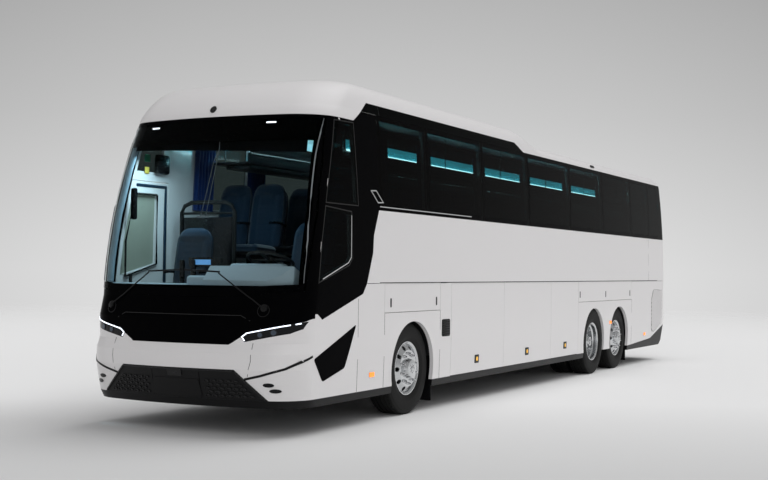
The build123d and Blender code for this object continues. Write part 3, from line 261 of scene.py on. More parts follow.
# Chassis black, and raw cast iron under it.
CHASSIS_PAINT = Finish("chassis_wax_black", "#191A1B", "#242526", 0.55, 0.1, grain_mm=25, relief_mm=0.15)
CAST_IRON = Finish("sand_cast_iron", "#2A2A2A", "#3B3A39", 0.65, 0.1, Grain.PEBBLE, 5.0, 0.4, metallic=0.6)
# Cabin: vinyl floor, pale moulded trim, blue plush seats, pleated curtain cloth.
FLOOR_VINYL = Finish("speckled_vinyl_floor", "#2C3338", "#4A535A", 0.6, 0.1, Grain.PEBBLE, 6.0)
DASH_TRIM = Finish("pale_abs_trim", "#B4C2CC", "#BECBD4", 0.45, 0.06, Grain.PEBBLE, 3.0, 0.08)
PILLAR_TRIM = Finish("pale_pillar_lining", "#8397A4", "#93A7B3", 0.35, 0.05, grain_mm=120)
RACK_TRIM = Finish("grey_abs_trim", "#1D2326", "#262D31", 0.4, 0.06, Grain.PEBBLE, 3.0, 0.08)
SEAT_PLUSH = Finish("blue_seat_plush", "#071E30", "#0C2D45", 0.75, 0.1, Grain.WEAVE, 12.0, 0.5, sheen=0.35)
SEAT_LEATHER = Finish("dark_blue_leather", "#071A29", "#0E2F45", 0.42, 0.08, Grain.PEBBLE, 5.0, 0.25, sheen=0.1)
CURTAIN_CLOTH = Finish("blue_curtain_twill", "#0B2658", "#123A7C", 0.85, 0.08, Grain.WEAVE, 9.0, 0.4, sheen=0.4)
# Near-black box behind the head of the windscreen: partly the sunblind housing, partly painted shade of the dark space
# inside.
HEADER_BOX_AND_SHADE = Finish("near_black_header_and_painted_shade", "#040507", "#07090B", 0.7, 0.06, Grain.PEBBLE, 3.0, 0.08, ior=1.15)
# Teal band behind the rack light guides that glows as painted light: the guides' light falling on the cove, not a lamp
# of its own.
LED_SPILL_GLOW = Finish("teal_painted_led_spill", "#3FB2C6", "#50C2D6", 0.5, 0.05, grain_mm=60, glow=5.0)
# Door pane: dark film outside; inside, a pale plate painted with the bright backdrop seen through the glass.
DOOR_PANE = Finish("dark_filmed_door_glass", "#0C0F11", "#121517", 0.04, 0.02, grain_mm=300, ior=1.25)
PAINTED_DOOR_VIEW = Finish("painted_backdrop_through_door_glass", "#8E9184", "#999C8F", 0.3, 0.05, grain_mm=200)
# Satin aluminium of thin edge trims, and the lit screen on the dash.
EDGE_ALLOY = Finish("satin_anodised_aluminium", "#7E8488", "#8D9397", 0.38, 0.05, grain_mm=30, metallic=0.5)
LIT_SCREEN = Finish("lit_display_blue", "#4E86BE", "#649AD0", 0.2, 0.04, grain_mm=50, glow=0.7)
WHEEL_LEATHER = Finish("stitched_black_leather", "#0E0E0F", "#191919", 0.5, 0.08, Grain.PEBBLE, 4.0, 0.2)
SCREEN_PANEL = Finish("display_glass", "#0A1A20", "#10262E", 0.1, 0.03, grain_mm=200, ior=1.3)
SIGN_GREEN = Finish("blank_sign_plate_green", "#2E7A57", "#368763", 0.5, 0.05, grain_mm=30)
SIGN_YELLOW = Finish("blank_sign_plate_yellow", "#C9B24A", "#D6C15C", 0.5, 0.05, grain_mm=30)

_made: dict[str, bpy.types.Material] = {}


def material_of(finish: Finish) -> bpy.types.Material:
    """Return the finish's material, built once."""
    if finish.name not in _made:
        _made[finish.name] = finish.make()
    return _made[finish.name]


# ------------------------------------------------------------------------------ mesh helpers
def piece_from(mesh: bpy.types.Mesh, name: str, finish: Finish, smooth: float = 35.0) -> bpy.types.Object:
    """Make an object of a mesh at the origin, dressed and shaded smooth below an angle.

    Args:
        mesh: the mesh, with its place in its points.
        name: the piece's name.
        finish: its finish.
        smooth: the angle in degrees above which an edge stays sharp.

    Returns:
        The linked object.
    """
    mesh.name = name
    mesh.materials.clear()
    mesh.materials.append(material_of(finish))
    mesh.polygons.foreach_set("use_smooth", [True] * len(mesh.polygons))
    mesh.polygons.foreach_set("material_index", [0] * len(mesh.polygons))
    mesh.set_sharp_from_angle(angle=math.radians(smooth))
    thing = bpy.data.objects.new(name, mesh)
    bpy.context.scene.collection.objects.link(thing)
    return thing


def mesh_of(bm: bmesh.types.BMesh, outward: bool = True) -> bpy.types.Mesh:
    """Turn a bmesh into a mesh with merged doubles.

    Args:
        bm: the bmesh, freed afterwards.
        outward: whether closed shells get their faces turned out.

    Returns:
        The new mesh.
    """
    bmesh.ops.remove_doubles(bm, verts=bm.verts, dist=1e-5)
    if outward:
        bmesh.ops.recalc_face_normals(bm, faces=bm.faces)
    mesh = bpy.data.meshes.new("mesh")
    bm.to_mesh(mesh)
    bm.free()
    return mesh


def baked(thing: bpy.types.Object) -> bpy.types.Mesh:
    """Apply an object's modifiers, remove the object and return its plain mesh."""
    graph = bpy.context.evaluated_depsgraph_get()
    mesh = bpy.data.meshes.new_from_object(thing.evaluated_get(graph))
    bpy.data.objects.remove(thing)
    return mesh


def add_box(bm: bmesh.types.BMesh, low: Sequence[float], high: Sequence[float], round_by: float = 0.0) -> None:
    """Add a box with rounded edges to a bmesh.

    The box has a bmesh of its own first. Faces added to one that was bevelled take the places of the faces
    it lost, in an order that changes from run to run.

    Args:
        bm: the bmesh.
        low: lowest corner.
        high: highest corner.
        round_by: radius of the edges.
    """
    size = [h - l for l, h in zip(low, high)]
    middle = [(h + l) / 2 for l, h in zip(low, high)]
    box = bmesh.new()
    bmesh.ops.create_cube(box, size=1.0, matrix=Matrix.Translation(middle) @ Matrix.Diagonal((*size, 1)))
    if round_by:
        bmesh.ops.bevel(box, geom=box.edges[:], offset=min(round_by, 0.45 * min(size)), segments=2,
                        affect="EDGES", profile=0.5, clamp_overlap=True)
    mesh = bpy.data.meshes.new("box")
    box.to_mesh(mesh)
    box.free()
    bm.from_mesh(mesh)
    bpy.data.meshes.remove(mesh)


def add_tube(bm: bmesh.types.BMesh, path: Sequence[Sequence[float]], radius: float, sides: int = 10) -> None:
    """Add a closed round bar along a path to a bmesh.

    Args:
        bm: the bmesh.
        path: the points of its middle line.
        radius: its radius.
        sides: the number of sides.
    """
    points = [Vector(p) for p in path]
    rings = []
    for i, point in enumerate(points):
        ahead = (points[min(i + 1, len(points) - 1)] - points[max(i - 1, 0)]).normalized()
        up = Vector((0, 0, 1)) if abs(ahead.z) < 0.9 else Vector((0, 1, 0))
        one = ahead.cross(up).normalized()
        two = one.cross(ahead)
        rings.append([bm.verts.new(point + radius * (math.cos(a) * one + math.sin(a) * two))
                      for a in (2 * math.pi * k / sides for k in range(sides))])
    for ring, after in zip(rings, rings[1:]):
        for k in range(sides):
            bm.faces.new((ring[k], ring[(k + 1) % sides], after[(k + 1) % sides], after[k]))
    bm.faces.new(rings[0])
    bm.faces.new(rings[-1])


def add_turned(bm: bmesh.types.BMesh, profile: Sequence[Point2], steps: int, turn: Matrix) -> None:
    """Add a closed ring turned about X from (x, radius) points.

    Args:
        bm: the bmesh.
        profile: the closed section.
        steps: steps round the circle.
        turn: where the ring goes.
    """
    rings = []
    for k in range(steps):
        a = 2 * math.pi * k / steps
        rings.append([bm.verts.new(turn @ Vector((x, r * math.cos(a), r * math.sin(a)))) for x, r in profile])
    for ring, after in zip(rings, rings[1:] + rings[:1]):
        for i in range(len(profile)):
            j = (i + 1) % len(profile)
            bm.faces.new((ring[i], ring[j], after[j], after[i]))


def rounded(points: Sequence[Point2], radius: float, steps: int = 4) -> list[Point2]:
    """Round the corners of a closed outline.

    Args:
        points: the corners in order.
        radius: the radius of each corner.
        steps: points along each corner.

    Returns:
        The rounded outline.
    """
    out: list[Point2] = []
    count = len(points)
    for i in range(count):
        before, here, after = (Vector(points[(i + k) % count]) for k in (-1, 0, 1))
        to_before, to_after = before - here, after - here
        reach = min(radius, 0.45 * to_before.length, 0.45 * to_after.length)
        start = here + to_before.normalized() * reach
        end = here + to_after.normalized() * reach
        for k in range(steps + 1):
            t = k / steps
            out.append(tuple((1 - t) ** 2 * start + 2 * t * (1 - t) * here + t * t * end))
    return out


def stroke(points: Sequence[Point2], width: float, closed: bool = False) -> list[list[Point2]]:
    """Turn a line into mitred four-sided outlines of one width.

    Args:
        points: the line.
        width: its width.
        closed: whether it returns to its start.

    Returns:
        One outline for each run.
    """
    line = [Vector(p) for p in points]
    count = len(line)
    pairs = []
    for i in range(count):
        before = line[i - 1] if i or closed else line[i]
        after = line[(i + 1) % count] if i + 1 < count or closed else line[i]
        one = (line[i] - before).normalized() if (line[i] - before).length else (after - line[i]).normalized()
        two = (after - line[i]).normalized() if (after - line[i]).length else one
        side = Vector((-(one + two).y, (one + two).x)).normalized()
        reach = width / 2 / max(side.dot(Vector((-one.y, one.x))), 0.4)
        pairs.append((tuple(line[i] + side * reach), tuple(line[i] - side * reach)))
    runs = zip(pairs, pairs[1:] + pairs[:1]) if closed else zip(pairs, pairs[1:])
    return [[a[0], b[0], b[1], a[1]] for a, b in runs]


def oblong(y0: float, y1: float, z0: float, z1: float) -> list[Point2]:
    """Return the corners of an upright rectangle."""
    return [(y0, z0), (y1, z0), (y1, z1), (y0, z1)]


def disc(y: float, z: float, radius: float, steps: int = 20) -> list[Point2]:
    """Return the points of a circle."""
    return [(y + radius * math.cos(2 * math.pi * k / steps), z + radius * math.sin(2 * math.pi * k / steps))
            for k in range(steps)]


# ------------------------------------------------------------------------------ trim laid on the body
class Face(Enum):
    """The side of the body that an outline is drawn on: far point maker and inward direction."""

    LEFT = 0
    RIGHT = 1
    FRONT = 2
    REAR = 3

    def place(self, a: float, b: float) -> Vector:
        """Return the point outside the body over an outline's point."""
        return (Vector((3, a, b)), Vector((-3, a, b)), Vector((a, -9, b)), Vector((a, 9, b)))[self.value]

    def inward(self) -> Vector:
        """Return the direction from outside towards the body."""
        return Vector(((-1, 0, 0), (1, 0, 0), (0, 1, 0), (0, -1, 0))[self.value])

    def across(self) -> tuple[Vector, Vector]:
        """Return the two directions of the outline's axes."""
        axes = ((1, 2), (1, 2), (0, 2), (0, 2))[self.value]
        return tuple(Vector([1.0 if k == axis else 0.0 for k in range(3)]) for axis in axes)


class Skin:
    """The outside of the body, on which trim is laid."""

    def __init__(self, frame: dict, names: Iterable[str]) -> None:
        """Gather the meshes of the named nodes.

        Args:
            names: the nodes of the skin.
        """
        points: list[Vector] = []
        faces: list[list[int]] = []
        for name in names:
            mesh = frame["nodes"][name].data
            start = len(points)
            points.extend(v.co.copy() for v in mesh.vertices)
            faces.extend([start + i for i in p.vertices] for p in mesh.polygons)
        self.tree = BVHTree.FromPolygons(points, faces)

    def touch(self, face: Face, a: float, b: float) -> tuple[Vector, Vector]:
        """Find the skin under an outline's point, bridging the joints between panels.

        Args:
            face: the side looked at.
            a: first coordinate.
            b: second coordinate.

        Returns:
            The point on the skin and the outward direction there.
        """
        inward = face.inward()
        one, two = face.across()
        best = None
        for reach in (0.0, 0.012, 0.03, 0.08):
            tries = [(0, 0)] if not reach else [(reach, 0), (-reach, 0), (0, reach), (0, -reach)]
            for s, t in tries:
                start = face.place(a, b) + one * s + two * t
                spot, normal, _, run = self.tree.ray_cast(start, inward)
                if spot is None:
                    continue
                if normal.dot(inward) > 0:
                    normal = -normal
                if best is None or run < best[1] - 0.02:
                    best = (normal, run)
            if best is not None and reach >= 0.012:
                break
        if best is None:
            spot, normal, _, _ = self.tree.find_nearest(face.place(a, b) + inward * 1.8)
            return spot, -inward
        return face.place(a, b) + inward * best[1], best[0]

    def lay(self, name: str, face: Face, outlines: Sequence[Sequence[Point2]], finish: Finish, body: str = "body",
            proud: float = 0.0012, step: float = 0.07, holes: Sequence[Sequence[Point2]] = (),
            depth: float = 0.002) -> bpy.types.Object:
        """Lay a thin plate on the skin over outlines.

        Args:
            name: the piece's name.
            face: the side that the outlines are drawn on.
            outlines: closed outlines.
            finish: its finish.
            body: the body it rides on.
            proud: how far its face stands off the skin.
            step: the grid that lets it follow curves.
            holes: outlines left open.
            depth: how far it goes into the skin.

        Returns:
            The piece, riding on its body.
        """
        bm = bmesh.new()
        for outline in outlines:
            bm.faces.new([bm.verts.new((a, b, 0)) for a, b in outline])
        bmesh.ops.remove_doubles(bm, verts=bm.verts, dist=1e-5)
        for hole in holes:
            for (a0, b0), (a1, b1) in zip(hole, [*hole[1:], hole[0]]):
                cut(bm, (a0, b0, 0), (b1 - b0, a0 - a1, 0))
        inside = [f for f in bm.faces if any(within(f.calc_center_median(), hole) for hole in holes)]
        bmesh.ops.delete(bm, geom=inside, context="FACES")
        for axis in (0, 1):
            low = min(v.co[axis] for v in bm.verts)
            high = max(v.co[axis] for v in bm.verts)
            for k in range(1, int((high - low) / step) + 1):
                spot = [0.0, 0.0, 0.0]
                spot[axis] = low + k * step
                cut(bm, spot, [1.0 if i == axis else 0.0 for i in range(3)])
        bmesh.ops.triangulate(bm, faces=bm.faces)
        for vert in bm.verts:
            spot, normal = self.touch(face, vert.co.x, vert.co.y)
            vert.co = spot + normal * proud
        bm.normal_update()
        for one in bm.faces:
            if one.normal.dot(face.inward()) > 0:
                one.normal_flip()
        mesh = mesh_of(bm, outward=False)
        thing = piece_from(mesh, name, finish)
        solid = thing.modifiers.new("depth", "SOLIDIFY")
        solid.thickness = proud + depth
        solid.offset = -1
        thing = piece_from(baked(thing), name, finish)
        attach(thing, body)
        log.info("laid %s: %d faces", name, len(thing.data.polygons))
        return thing

    def shape(self, mesh: bpy.types.Mesh, face: Face, proud: float = 0.0) -> bpy.types.Mesh:
        """Bend a flat-based mesh onto the skin: its x and y are outline coordinates, its z stands out.

        Args:
            mesh: the mesh to bend.
            face: the side that it is drawn on.
            proud: extra height over the skin.

        Returns:
            The same mesh.
        """
        for vert in mesh.vertices:
            spot, normal = self.touch(face, vert.co.x, vert.co.y)
            vert.co = spot + normal * (vert.co.z + proud)
        return mesh


def cut(bm: bmesh.types.BMesh, spot: Sequence[float], normal: Sequence[float]) -> None:
    """Cut all faces of a bmesh by a plane."""
    geometry = bm.verts[:] + bm.edges[:] + bm.faces[:]
    bmesh.ops.bisect_plane(bm, geom=geometry, dist=1e-6, plane_co=spot, plane_no=Vector(normal).normalized())


def within(point: Vector, outline: Sequence[Point2]) -> bool:
    """Tell whether a point lies inside a closed outline."""
    inside = False
    for (a0, b0), (a1, b1) in zip(outline, [*outline[1:], outline[0]]):
        if (b0 > point.y) != (b1 > point.y) and point.x < (a1 - a0) * (point.y - b0) / (b1 - b0) + a0:
            inside = not inside
    return inside


# ------------------------------------------------------------------------------ what repeats
class Repeats:
    """Geometry node trees that set out like shapes on a ring or on a grid."""

    def __init__(self) -> None:
        """Build both trees."""
        self.ring = self.build("ring_of_like_shapes", self.ring_points, (("Count", "NodeSocketInt", 10),
                                                                          ("Radius", "NodeSocketFloat", 0.1)))
        self.grid = self.build("grid_of_like_shapes", self.grid_points, (
            ("Columns", "NodeSocketInt", 4), ("Rows", "NodeSocketInt", 1),
            ("Width", "NodeSocketFloat", 1.0), ("Height", "NodeSocketFloat", 0.0)))

    @staticmethod
    def build(name: str, points: Callable, sizes: Sequence[tuple]) -> bpy.types.NodeTree:
        """Build a tree that puts a shape on points and realises it.

        Args:
            name: the tree's name.
            points: makes the points and their turn.
            sizes: name, socket type and value of each input.

        Returns:
            The tree.
        """
        tree = bpy.data.node_groups.new(name, "GeometryNodeTree")
        for title, kind, value in sizes:
            tree.interface.new_socket(title, in_out="INPUT", socket_type=kind).default_value = value
        tree.interface.new_socket("Shape", in_out="INPUT", socket_type="NodeSocketObject")
        tree.interface.new_socket("Finish", in_out="INPUT", socket_type="NodeSocketMaterial")
        tree.interface.new_socket("Geometry", in_out="OUTPUT", socket_type="NodeSocketGeometry")
        given = add_node(tree, "NodeGroupInput").outputs
        spots, turn = points(tree, given)
        shape = add_node(tree, "GeometryNodeObjectInfo", {"Object": given["Shape"]})
        inputs = {"Points": spots, "Instance": shape.outputs["Geometry"]}
        if turn is not None:
            inputs["Rotation"] = turn
        placed = add_node(tree, "GeometryNodeInstanceOnPoints", inputs)
        real = add_node(tree, "GeometryNodeRealizeInstances", {"Geometry": placed.outputs[0]})
        dressed = add_node(tree, "GeometryNodeSetMaterial", {"Geometry": real.outputs[0],
                                                             "Material": given["Finish"]})
        add_node(tree, "NodeGroupOutput", {"Geometry": dressed.outputs[0]})
        return tree

    @staticmethod
    def ring_points(tree: bpy.types.NodeTree, given: Any) -> tuple:
        """Make points on a circle in XY, each turned outward about Z."""
        circle = add_node(tree, "GeometryNodeMeshCircle", {"Vertices": given["Count"], "Radius": given["Radius"]})
        index = add_node(tree, "GeometryNodeInputIndex")
        share = add_node(tree, "ShaderNodeMath", {0: index.outputs[0], 1: given["Count"]}, operation="DIVIDE")
        angle = add_node(tree, "ShaderNodeMath", {0: share.outputs[0], 1: 2 * math.pi}, operation="MULTIPLY")
        turn = add_node(tree, "ShaderNodeCombineXYZ", {"Z": angle.outputs[0]})
        return circle.outputs["Mesh"], turn.outputs[0]

    @staticmethod
    def grid_points(tree: bpy.types.NodeTree, given: Any) -> tuple:
        """Make points on a grid in XY."""
        grid = add_node(tree, "GeometryNodeMeshGrid", {
            "Size X": given["Width"], "Size Y": given["Height"],
            "Vertices X": given["Columns"], "Vertices Y": given["Rows"]})
        return grid.outputs["Mesh"], None

    def grow(self, tree: bpy.types.NodeTree, shape: bpy.types.Mesh, finish: Finish, **sizes: Any) -> bpy.types.Mesh:
        """Run a tree on a shape and return the plain mesh.

        Args:
            tree: the tree to run.
            shape: the mesh that repeats.
            finish: the finish to set.
            sizes: values of the tree's named inputs.

        Returns:
            The mesh of all the shapes.
        """
        pattern = bpy.data.objects.new("pattern", shape)
        bpy.context.scene.collection.objects.link(pattern)
        holder = bpy.data.objects.new("holder", bpy.data.meshes.new("holder"))
        bpy.context.scene.collection.objects.link(holder)
        modifier = holder.modifiers.new("repeat", "NODES")
        modifier.node_group = tree
        values = {**sizes, "Shape": pattern, "Finish": material_of(finish)}
        for item in tree.interface.items_tree:
            if item.in_out == "INPUT" and item.name in values:
                modifier[item.identifier] = values[item.name]
        mesh = baked(holder)
        bpy.data.objects.remove(pattern)
        return mesh


def moved(mesh: bpy.types.Mesh, turn: Matrix) -> bpy.types.Mesh:
    """Move a mesh's points by a matrix and return it."""
    mesh.transform(turn)
    if turn.determinant() < 0:
        mesh.flip_normals()
    return mesh


def joined(meshes: Sequence[bpy.types.Mesh]) -> bpy.types.Mesh:
    """Join meshes into one new mesh."""
    bm = bmesh.new()
    for mesh in meshes:
        bm.from_mesh(mesh)
    mesh = bpy.data.meshes.new("joined")
    bm.to_mesh(mesh)
    bm.free()
    return mesh


# ------------------------------------------------------------------------------ finishes of the kept nodes
KEPT_FINISHES: tuple[tuple[Finish, tuple[str, ...]], ...] = (
    (BODY_PAINT, ("side_wall_left", "side_wall_right", "roof", "rear_wall", "front_bumper", "entry_door", "engine_lid",
                  "luggage_door_", "front_wheel_flap_", "rear_wheel_flap_")),
    (BLACK_ENAMEL, ("front_mask",)),
    (BLACK_PLASTIC, ("lower_valance", "bumper_grille", "mudflaps", "wipers", "roof_hatch_")),
    (TINTED_GLASS, ("side_windows_", "rear_window")),
    (SCREEN_GLASS, ("windscreen",)),
    (LAMP_BODY, ("headlamps",)),
    (RED_LENS, ("tail_lamps",)),
    (CHASSIS_PAINT, ("chassis_frame", "underbody", "entry_door_arm")),
    (CAST_IRON, ("front_axle_beam", "drive_axle", "tag_axle", "knuckle_", "engine")),
    (RIM_ALLOY, ("front_rim_", "drive_rim_", "tag_rim_")),
    (TYRE_RUBBER, ("front_tyre_", "drive_tyre_", "tag_tyre_")),
    (FLOOR_VINYL, ("cabin_floor",)),
    (DASH_TRIM, ("dashboard",)),
    (WHEEL_LEATHER, ("steering_wheel",)),
    (RACK_TRIM, ("luggage_racks",)),
    (SEAT_PLUSH, ("crew_seats", "passenger_seats_")),
    (CURTAIN_CLOTH, ("curtains",)),
)
SKIN_NODES = (
    "side_wall_left", "side_wall_right", "side_windows_left", "side_windows_right", "roof", "rear_wall", "rear_window",
    "front_mask", "front_bumper", "bumper_grille", "headlamps", "windscreen", "entry_door", "engine_lid",
    "lower_valance", "tail_lamps", "front_wheel_flap_left", "front_wheel_flap_right", "rear_wheel_flap_left",
    "rear_wheel_flap_right", "luggage_door_left_1", "luggage_door_left_2", "luggage_door_left_3",
    "luggage_door_right_1", "luggage_door_right_2", "luggage_door_right_3",
)


def dress_nodes(frame: dict) -> None:
    """Give every carried-over node its finish.
    """
    for name, thing in frame["nodes"].items():
        found = [finish for finish, starts in KEPT_FINISHES for start in starts
                 if name == start or (start.endswith("_") and name.startswith(start))]
        material = material_of(found[0])
        if not thing.material_slots:
            thing.data.materials.append(material)
        for slot in thing.material_slots:
            slot.material = material
        log.info("dressed %s in %s", name, material.name)


# ------------------------------------------------------------------------------ side and corner trim
def joint_at(z: float, run: float = 0.0) -> Point2:
    """Return the point of the front joint at a height, moved back by a run."""
    line = ((-6.375, 0.2), (-6.31, 1.19), (-6.21, 1.9), (-6.11, 2.35), (-5.884, 3.156))
    for (y0, z0), (y1, z1) in zip(line, line[1:]):
        if z <= z1:
            return (y0 + (y1 - y0) * (z - z0) / (z1 - z0) + run, z)
    return (line[-1][0] + run, z)


def up_joint(low: float, high: float, run: float) -> list[Point2]:
    """Return points up the front joint between two heights."""
    return [joint_at(low, run), *[joint_at(z, run) for z in (1.19, 1.9, 2.35) if low < z < high],
            joint_at(high, run)]


@dataclass
class SideTrim:
    """Black areas, joints, markers and slots of one side."""

    side: str
    sign: int
    mask_edge: tuple[Point2, ...] = ((-4.9915, 2.251), (-4.994, 2.251), (-5.117, 1.982), (-5.138, 1.794),
                                     (-5.27, 1.471), (-5.353, 1.366))
    mask_foot: tuple[Point2, ...] = ((-6.179, 1.124), (-6.27, 1.18))
    joint_width: float = 0.006

    @property
    def face(self) -> Face:
        """The face of the body that this side is."""
        return Face.LEFT if self.sign > 0 else Face.RIGHT

    @property
    def quarter_glass(self) -> list[Point2]:
        """Outline of the small upper window."""
        if self.sign > 0:
            return [*up_joint(2.275, 3.12, 0.014), (-5.505, 3.13), (-5.481, 2.746), (-5.452, 2.275)]
        return [*up_joint(2.64, 3.12, 0.014), (-5.505, 3.13), (-5.476, 2.64)]

    @property
    def quarter_hole(self) -> list[Point2]:
        """Outline left open over the small upper window, a little inside its glass."""
        if self.sign > 0:
            return [*up_joint(2.281, 3.114, 0.020), (-5.511, 3.124), (-5.487, 2.744), (-5.458, 2.281)]
        return [*up_joint(2.646, 3.114, 0.020), (-5.511, 3.124), (-5.482, 2.646)]

    def build(self, skin: Skin, repeats: Repeats) -> None:
        """Lay all trim of the side.

        Args:
            skin: the body's outside.
            repeats: the trees for slats.
        """
        self.black_areas(skin)
        self.joints(skin)
        self.markers(skin)
        self.vents(skin, repeats)
        self.window_seals(skin)
        self.pane_borders(skin)

    def black_areas(self, skin: Skin) -> None:
        """Lay the black area round the front windows and the lower corner."""
        top = [(-5.497, 3.1545), (-5.32, 3.2685), (-4.9915, 3.2685)]
        driver_glass = [*up_joint(1.491, 2.232, 0.020), (-5.603, 2.201), (-5.592, 1.734), (-5.653, 1.668)]
        corner = rounded([(-5.494, 1.054), (-5.725, 0.624), (-6.155, 0.516), (-6.33, 0.745)], 0.03)
        if self.sign > 0:
            outline = [*up_joint(1.18, 3.1545, -0.001), *top, *self.mask_edge, *self.mask_foot]
            skin.lay(f"side_mask_{self.side}", self.face, [outline], BLACK_ENAMEL,
                     holes=[driver_glass, self.quarter_hole])
            skin.lay(f"lower_corner_{self.side}", self.face, [corner], BLACK_ENAMEL, proud=0.003)
            return
        wall = [*up_joint(2.576, 3.1545, -0.001), *top, *self.mask_edge, (-5.4, 1.352), (-5.4, 2.576)]
        skin.lay(f"side_mask_{self.side}", self.face, [wall], BLACK_ENAMEL, holes=[self.quarter_hole])
        door = [*up_joint(1.19, 2.56, 0.011), (-5.415, 2.56), (-5.415, 1.348), *self.mask_foot]
        glass = [*up_joint(1.49, 2.465, 0.032), (-5.565, 2.465), (-5.565, 1.625)]
        skin.lay("entry_door_mask", self.face, [door], BLACK_ENAMEL, body="entry_door", holes=[glass])
        skin.lay("entry_door_pane", self.face, [glass], DOOR_PANE, body="entry_door")
        # Painted light inside the door pane: a pale plate painted with the bright backdrop seen through the glass.
        clear = [*up_joint(1.53, 2.43, 0.064), (-5.60, 2.43), (-5.60, 1.665)]
        skin.lay("entry_door_inner_film", self.face, [clear], PAINTED_DOOR_VIEW, body="entry_door", proud=-0.0085,
                 depth=0.0105)
        skin.lay(f"lower_corner_{self.side}", self.face, [corner], BLACK_ENAMEL, body="entry_door", proud=0.003)

    def joints(self, skin: Skin) -> None:
        """Lay the thin dark joints that divide the panels."""
        waist = BELT + 0.0025
        runs = [[(front, waist), (rear, waist)] for front, rear in ((-5.262, -4.867), (-3.446, -3.137), (4.506, 6.74))]
        uprights = [(-4.862, 0.36, 1.15), (-3.45, 0.36, 1.15), (4.502, 0.37, 1.15), (5.59, BELT, 2.24)]
        if self.sign > 0:
            uprights.append((-5.45, 0.36, 1.315))
        runs += [[(y, low), (y, high)] for y, low, high in uprights]
        outlines = [quad for run in runs for quad in stroke(run, self.joint_width)]
        skin.lay(f"panel_joints_{self.side}", self.face, outlines, SEAL_RUBBER, proud=0.0005, step=0.3)

    def markers(self, skin: Skin) -> None:
        """Lay the amber markers, the square lamps on the doors and the lock slots."""
        spots = ((3.25, 0.795), (5.345, 0.517))
        if self.sign > 0:
            spots = ((-5.133, 0.516), *spots)
        frames = [rounded(oblong(y - 0.06, y + 0.06, z - 0.034, z + 0.034), 0.014) for y, z in spots]
        skin.lay(f"marker_frames_{self.side}", self.face, frames, CHROME, proud=0.003)
        lenses = [rounded(oblong(y - 0.05, y + 0.05, z - 0.025, z + 0.025), 0.012) for y, z in spots]
        skin.lay(f"marker_lenses_{self.side}", self.face, lenses, AMBER_LENS, proud=0.008)
        for number, y, z in ((1, -2.345, 0.519), (2, -0.593, 0.52), (3, 0.994, 0.525)):
            door = f"luggage_door_{self.side}_{number}"
            frame = rounded(oblong(y - 0.062, y + 0.062, z - 0.052, z + 0.052), 0.012)
            skin.lay(f"{door}_lamp_frame", self.face, [frame], BLACK_PLASTIC, body=door, proud=0.006)
            skin.lay(f"{door}_lamp_lens", self.face, [disc(y, z, 0.027)], YELLOW_LENS, body=door, proud=0.010)
        for flap, places in ((f"front_wheel_flap_{self.side}", ((-4.719, 1.262), (-3.56, 1.262))),
                             (f"rear_wheel_flap_{self.side}", ((1.674, 1.272), (2.988, 1.264), (4.382, 1.267)))):
            slots = [rounded(oblong(y - 0.016, y + 0.016, z - 0.05, z + 0.05), 0.015) for y, z in places]
            skin.lay(f"{flap}_locks", self.face, slots, BLACK_PLASTIC, body=flap, proud=0.002)

    def vents(self, skin: Skin, repeats: Repeats) -> None:
        """Lay the small vent behind the front wheel, the waist seal and the slanted slats at the tail."""
        along = [-4.98 + 0.485 * k for k in range(24)]
        foot = BELT + 0.0035
        seal = [*[(y, foot) for y in along], *[(y, foot + 0.010) for y in reversed(along)]]
        skin.lay(f"waist_seal_{self.side}", self.face, [seal], SEAL_RUBBER, proud=0.0006)
        y0, y1, z0, z1 = -3.406, -3.175, 0.841, 1.044
        skin.lay(f"side_vent_frame_{self.side}", self.face, [rounded(oblong(y0, y1, z0, z1), 0.03)], SEAL_RUBBER,
                 proud=0.003)
        bm = bmesh.new()
        add_box(bm, (-0.1, -0.006, 0), (0.1, 0.006, 0.009), 0.003)
        slats = repeats.grow(repeats.grid, mesh_of(bm), BLACK_PLASTIC, Columns=1, Rows=7, Width=0.0, Height=0.165)
        moved(slats, Matrix.Translation(((y0 + y1) / 2, (z0 + z1) / 2, 0)))
        vent = piece_from(skin.shape(slats, self.face), f"side_vent_slats_{self.side}", BLACK_PLASTIC)
        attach(vent, "body")
        grille = [(5.887, 1.28), (5.95, 1.32), (6.50, 1.30), (6.53, 1.24), (6.50, 0.74), (6.42, 0.66), (5.95, 0.53),
                  (5.84, 0.55), (5.79, 0.62), (5.78, 1.12)]
        skin.lay(f"tail_grille_ground_{self.side}", self.face, [grille], SEAL_RUBBER, proud=0.0008)
        slats = []
        for k in range(31):
            middle = 5.30 + 0.052 * k
            foot, head = (middle, 0.5), (middle + 0.62, 1.34)
            inside = [(foot[0] + (head[0] - foot[0]) * t, foot[1] + (head[1] - foot[1]) * t)
                      for t in [i / 60 for i in range(61)]]
            inside = [p for p in inside if within(Vector((*p, 0)), grille)]
            if len(inside) > 2:
                slats += stroke([inside[0], inside[-1]], 0.027)
        skin.lay(f"tail_grille_slats_{self.side}", self.face, slats, BODY_PAINT, proud=0.007)

    def pane_borders(self, skin: Skin) -> None:
        """Lay the black borders baked on the panes, over the posts and rails behind them."""
        low, high, last = SILL + 0.003, GUTTER - 0.003, 6.24
        edges = [*PANE_JOINTS[1:]]
        bands = [oblong(PANE_JOINTS[0] + 0.003, PANE_JOINTS[0] + 0.064, low, high)]
        bands += [oblong(y + a, y + b, low, high) for y in edges for a, b in ((-0.064, -0.003), (0.003, 0.064))]
        for front, rear in zip(PANE_JOINTS, [*edges, last + 0.064]):
            for z0, z1 in ((low, low + 0.061), (high - 0.061, high)):
                bands.append(oblong(front + 0.064, rear - 0.064, z0, z1))
        skin.lay(f"pane_borders_{self.side}", self.face, bands, BLACK_ENAMEL, proud=0.0007, step=0.3)

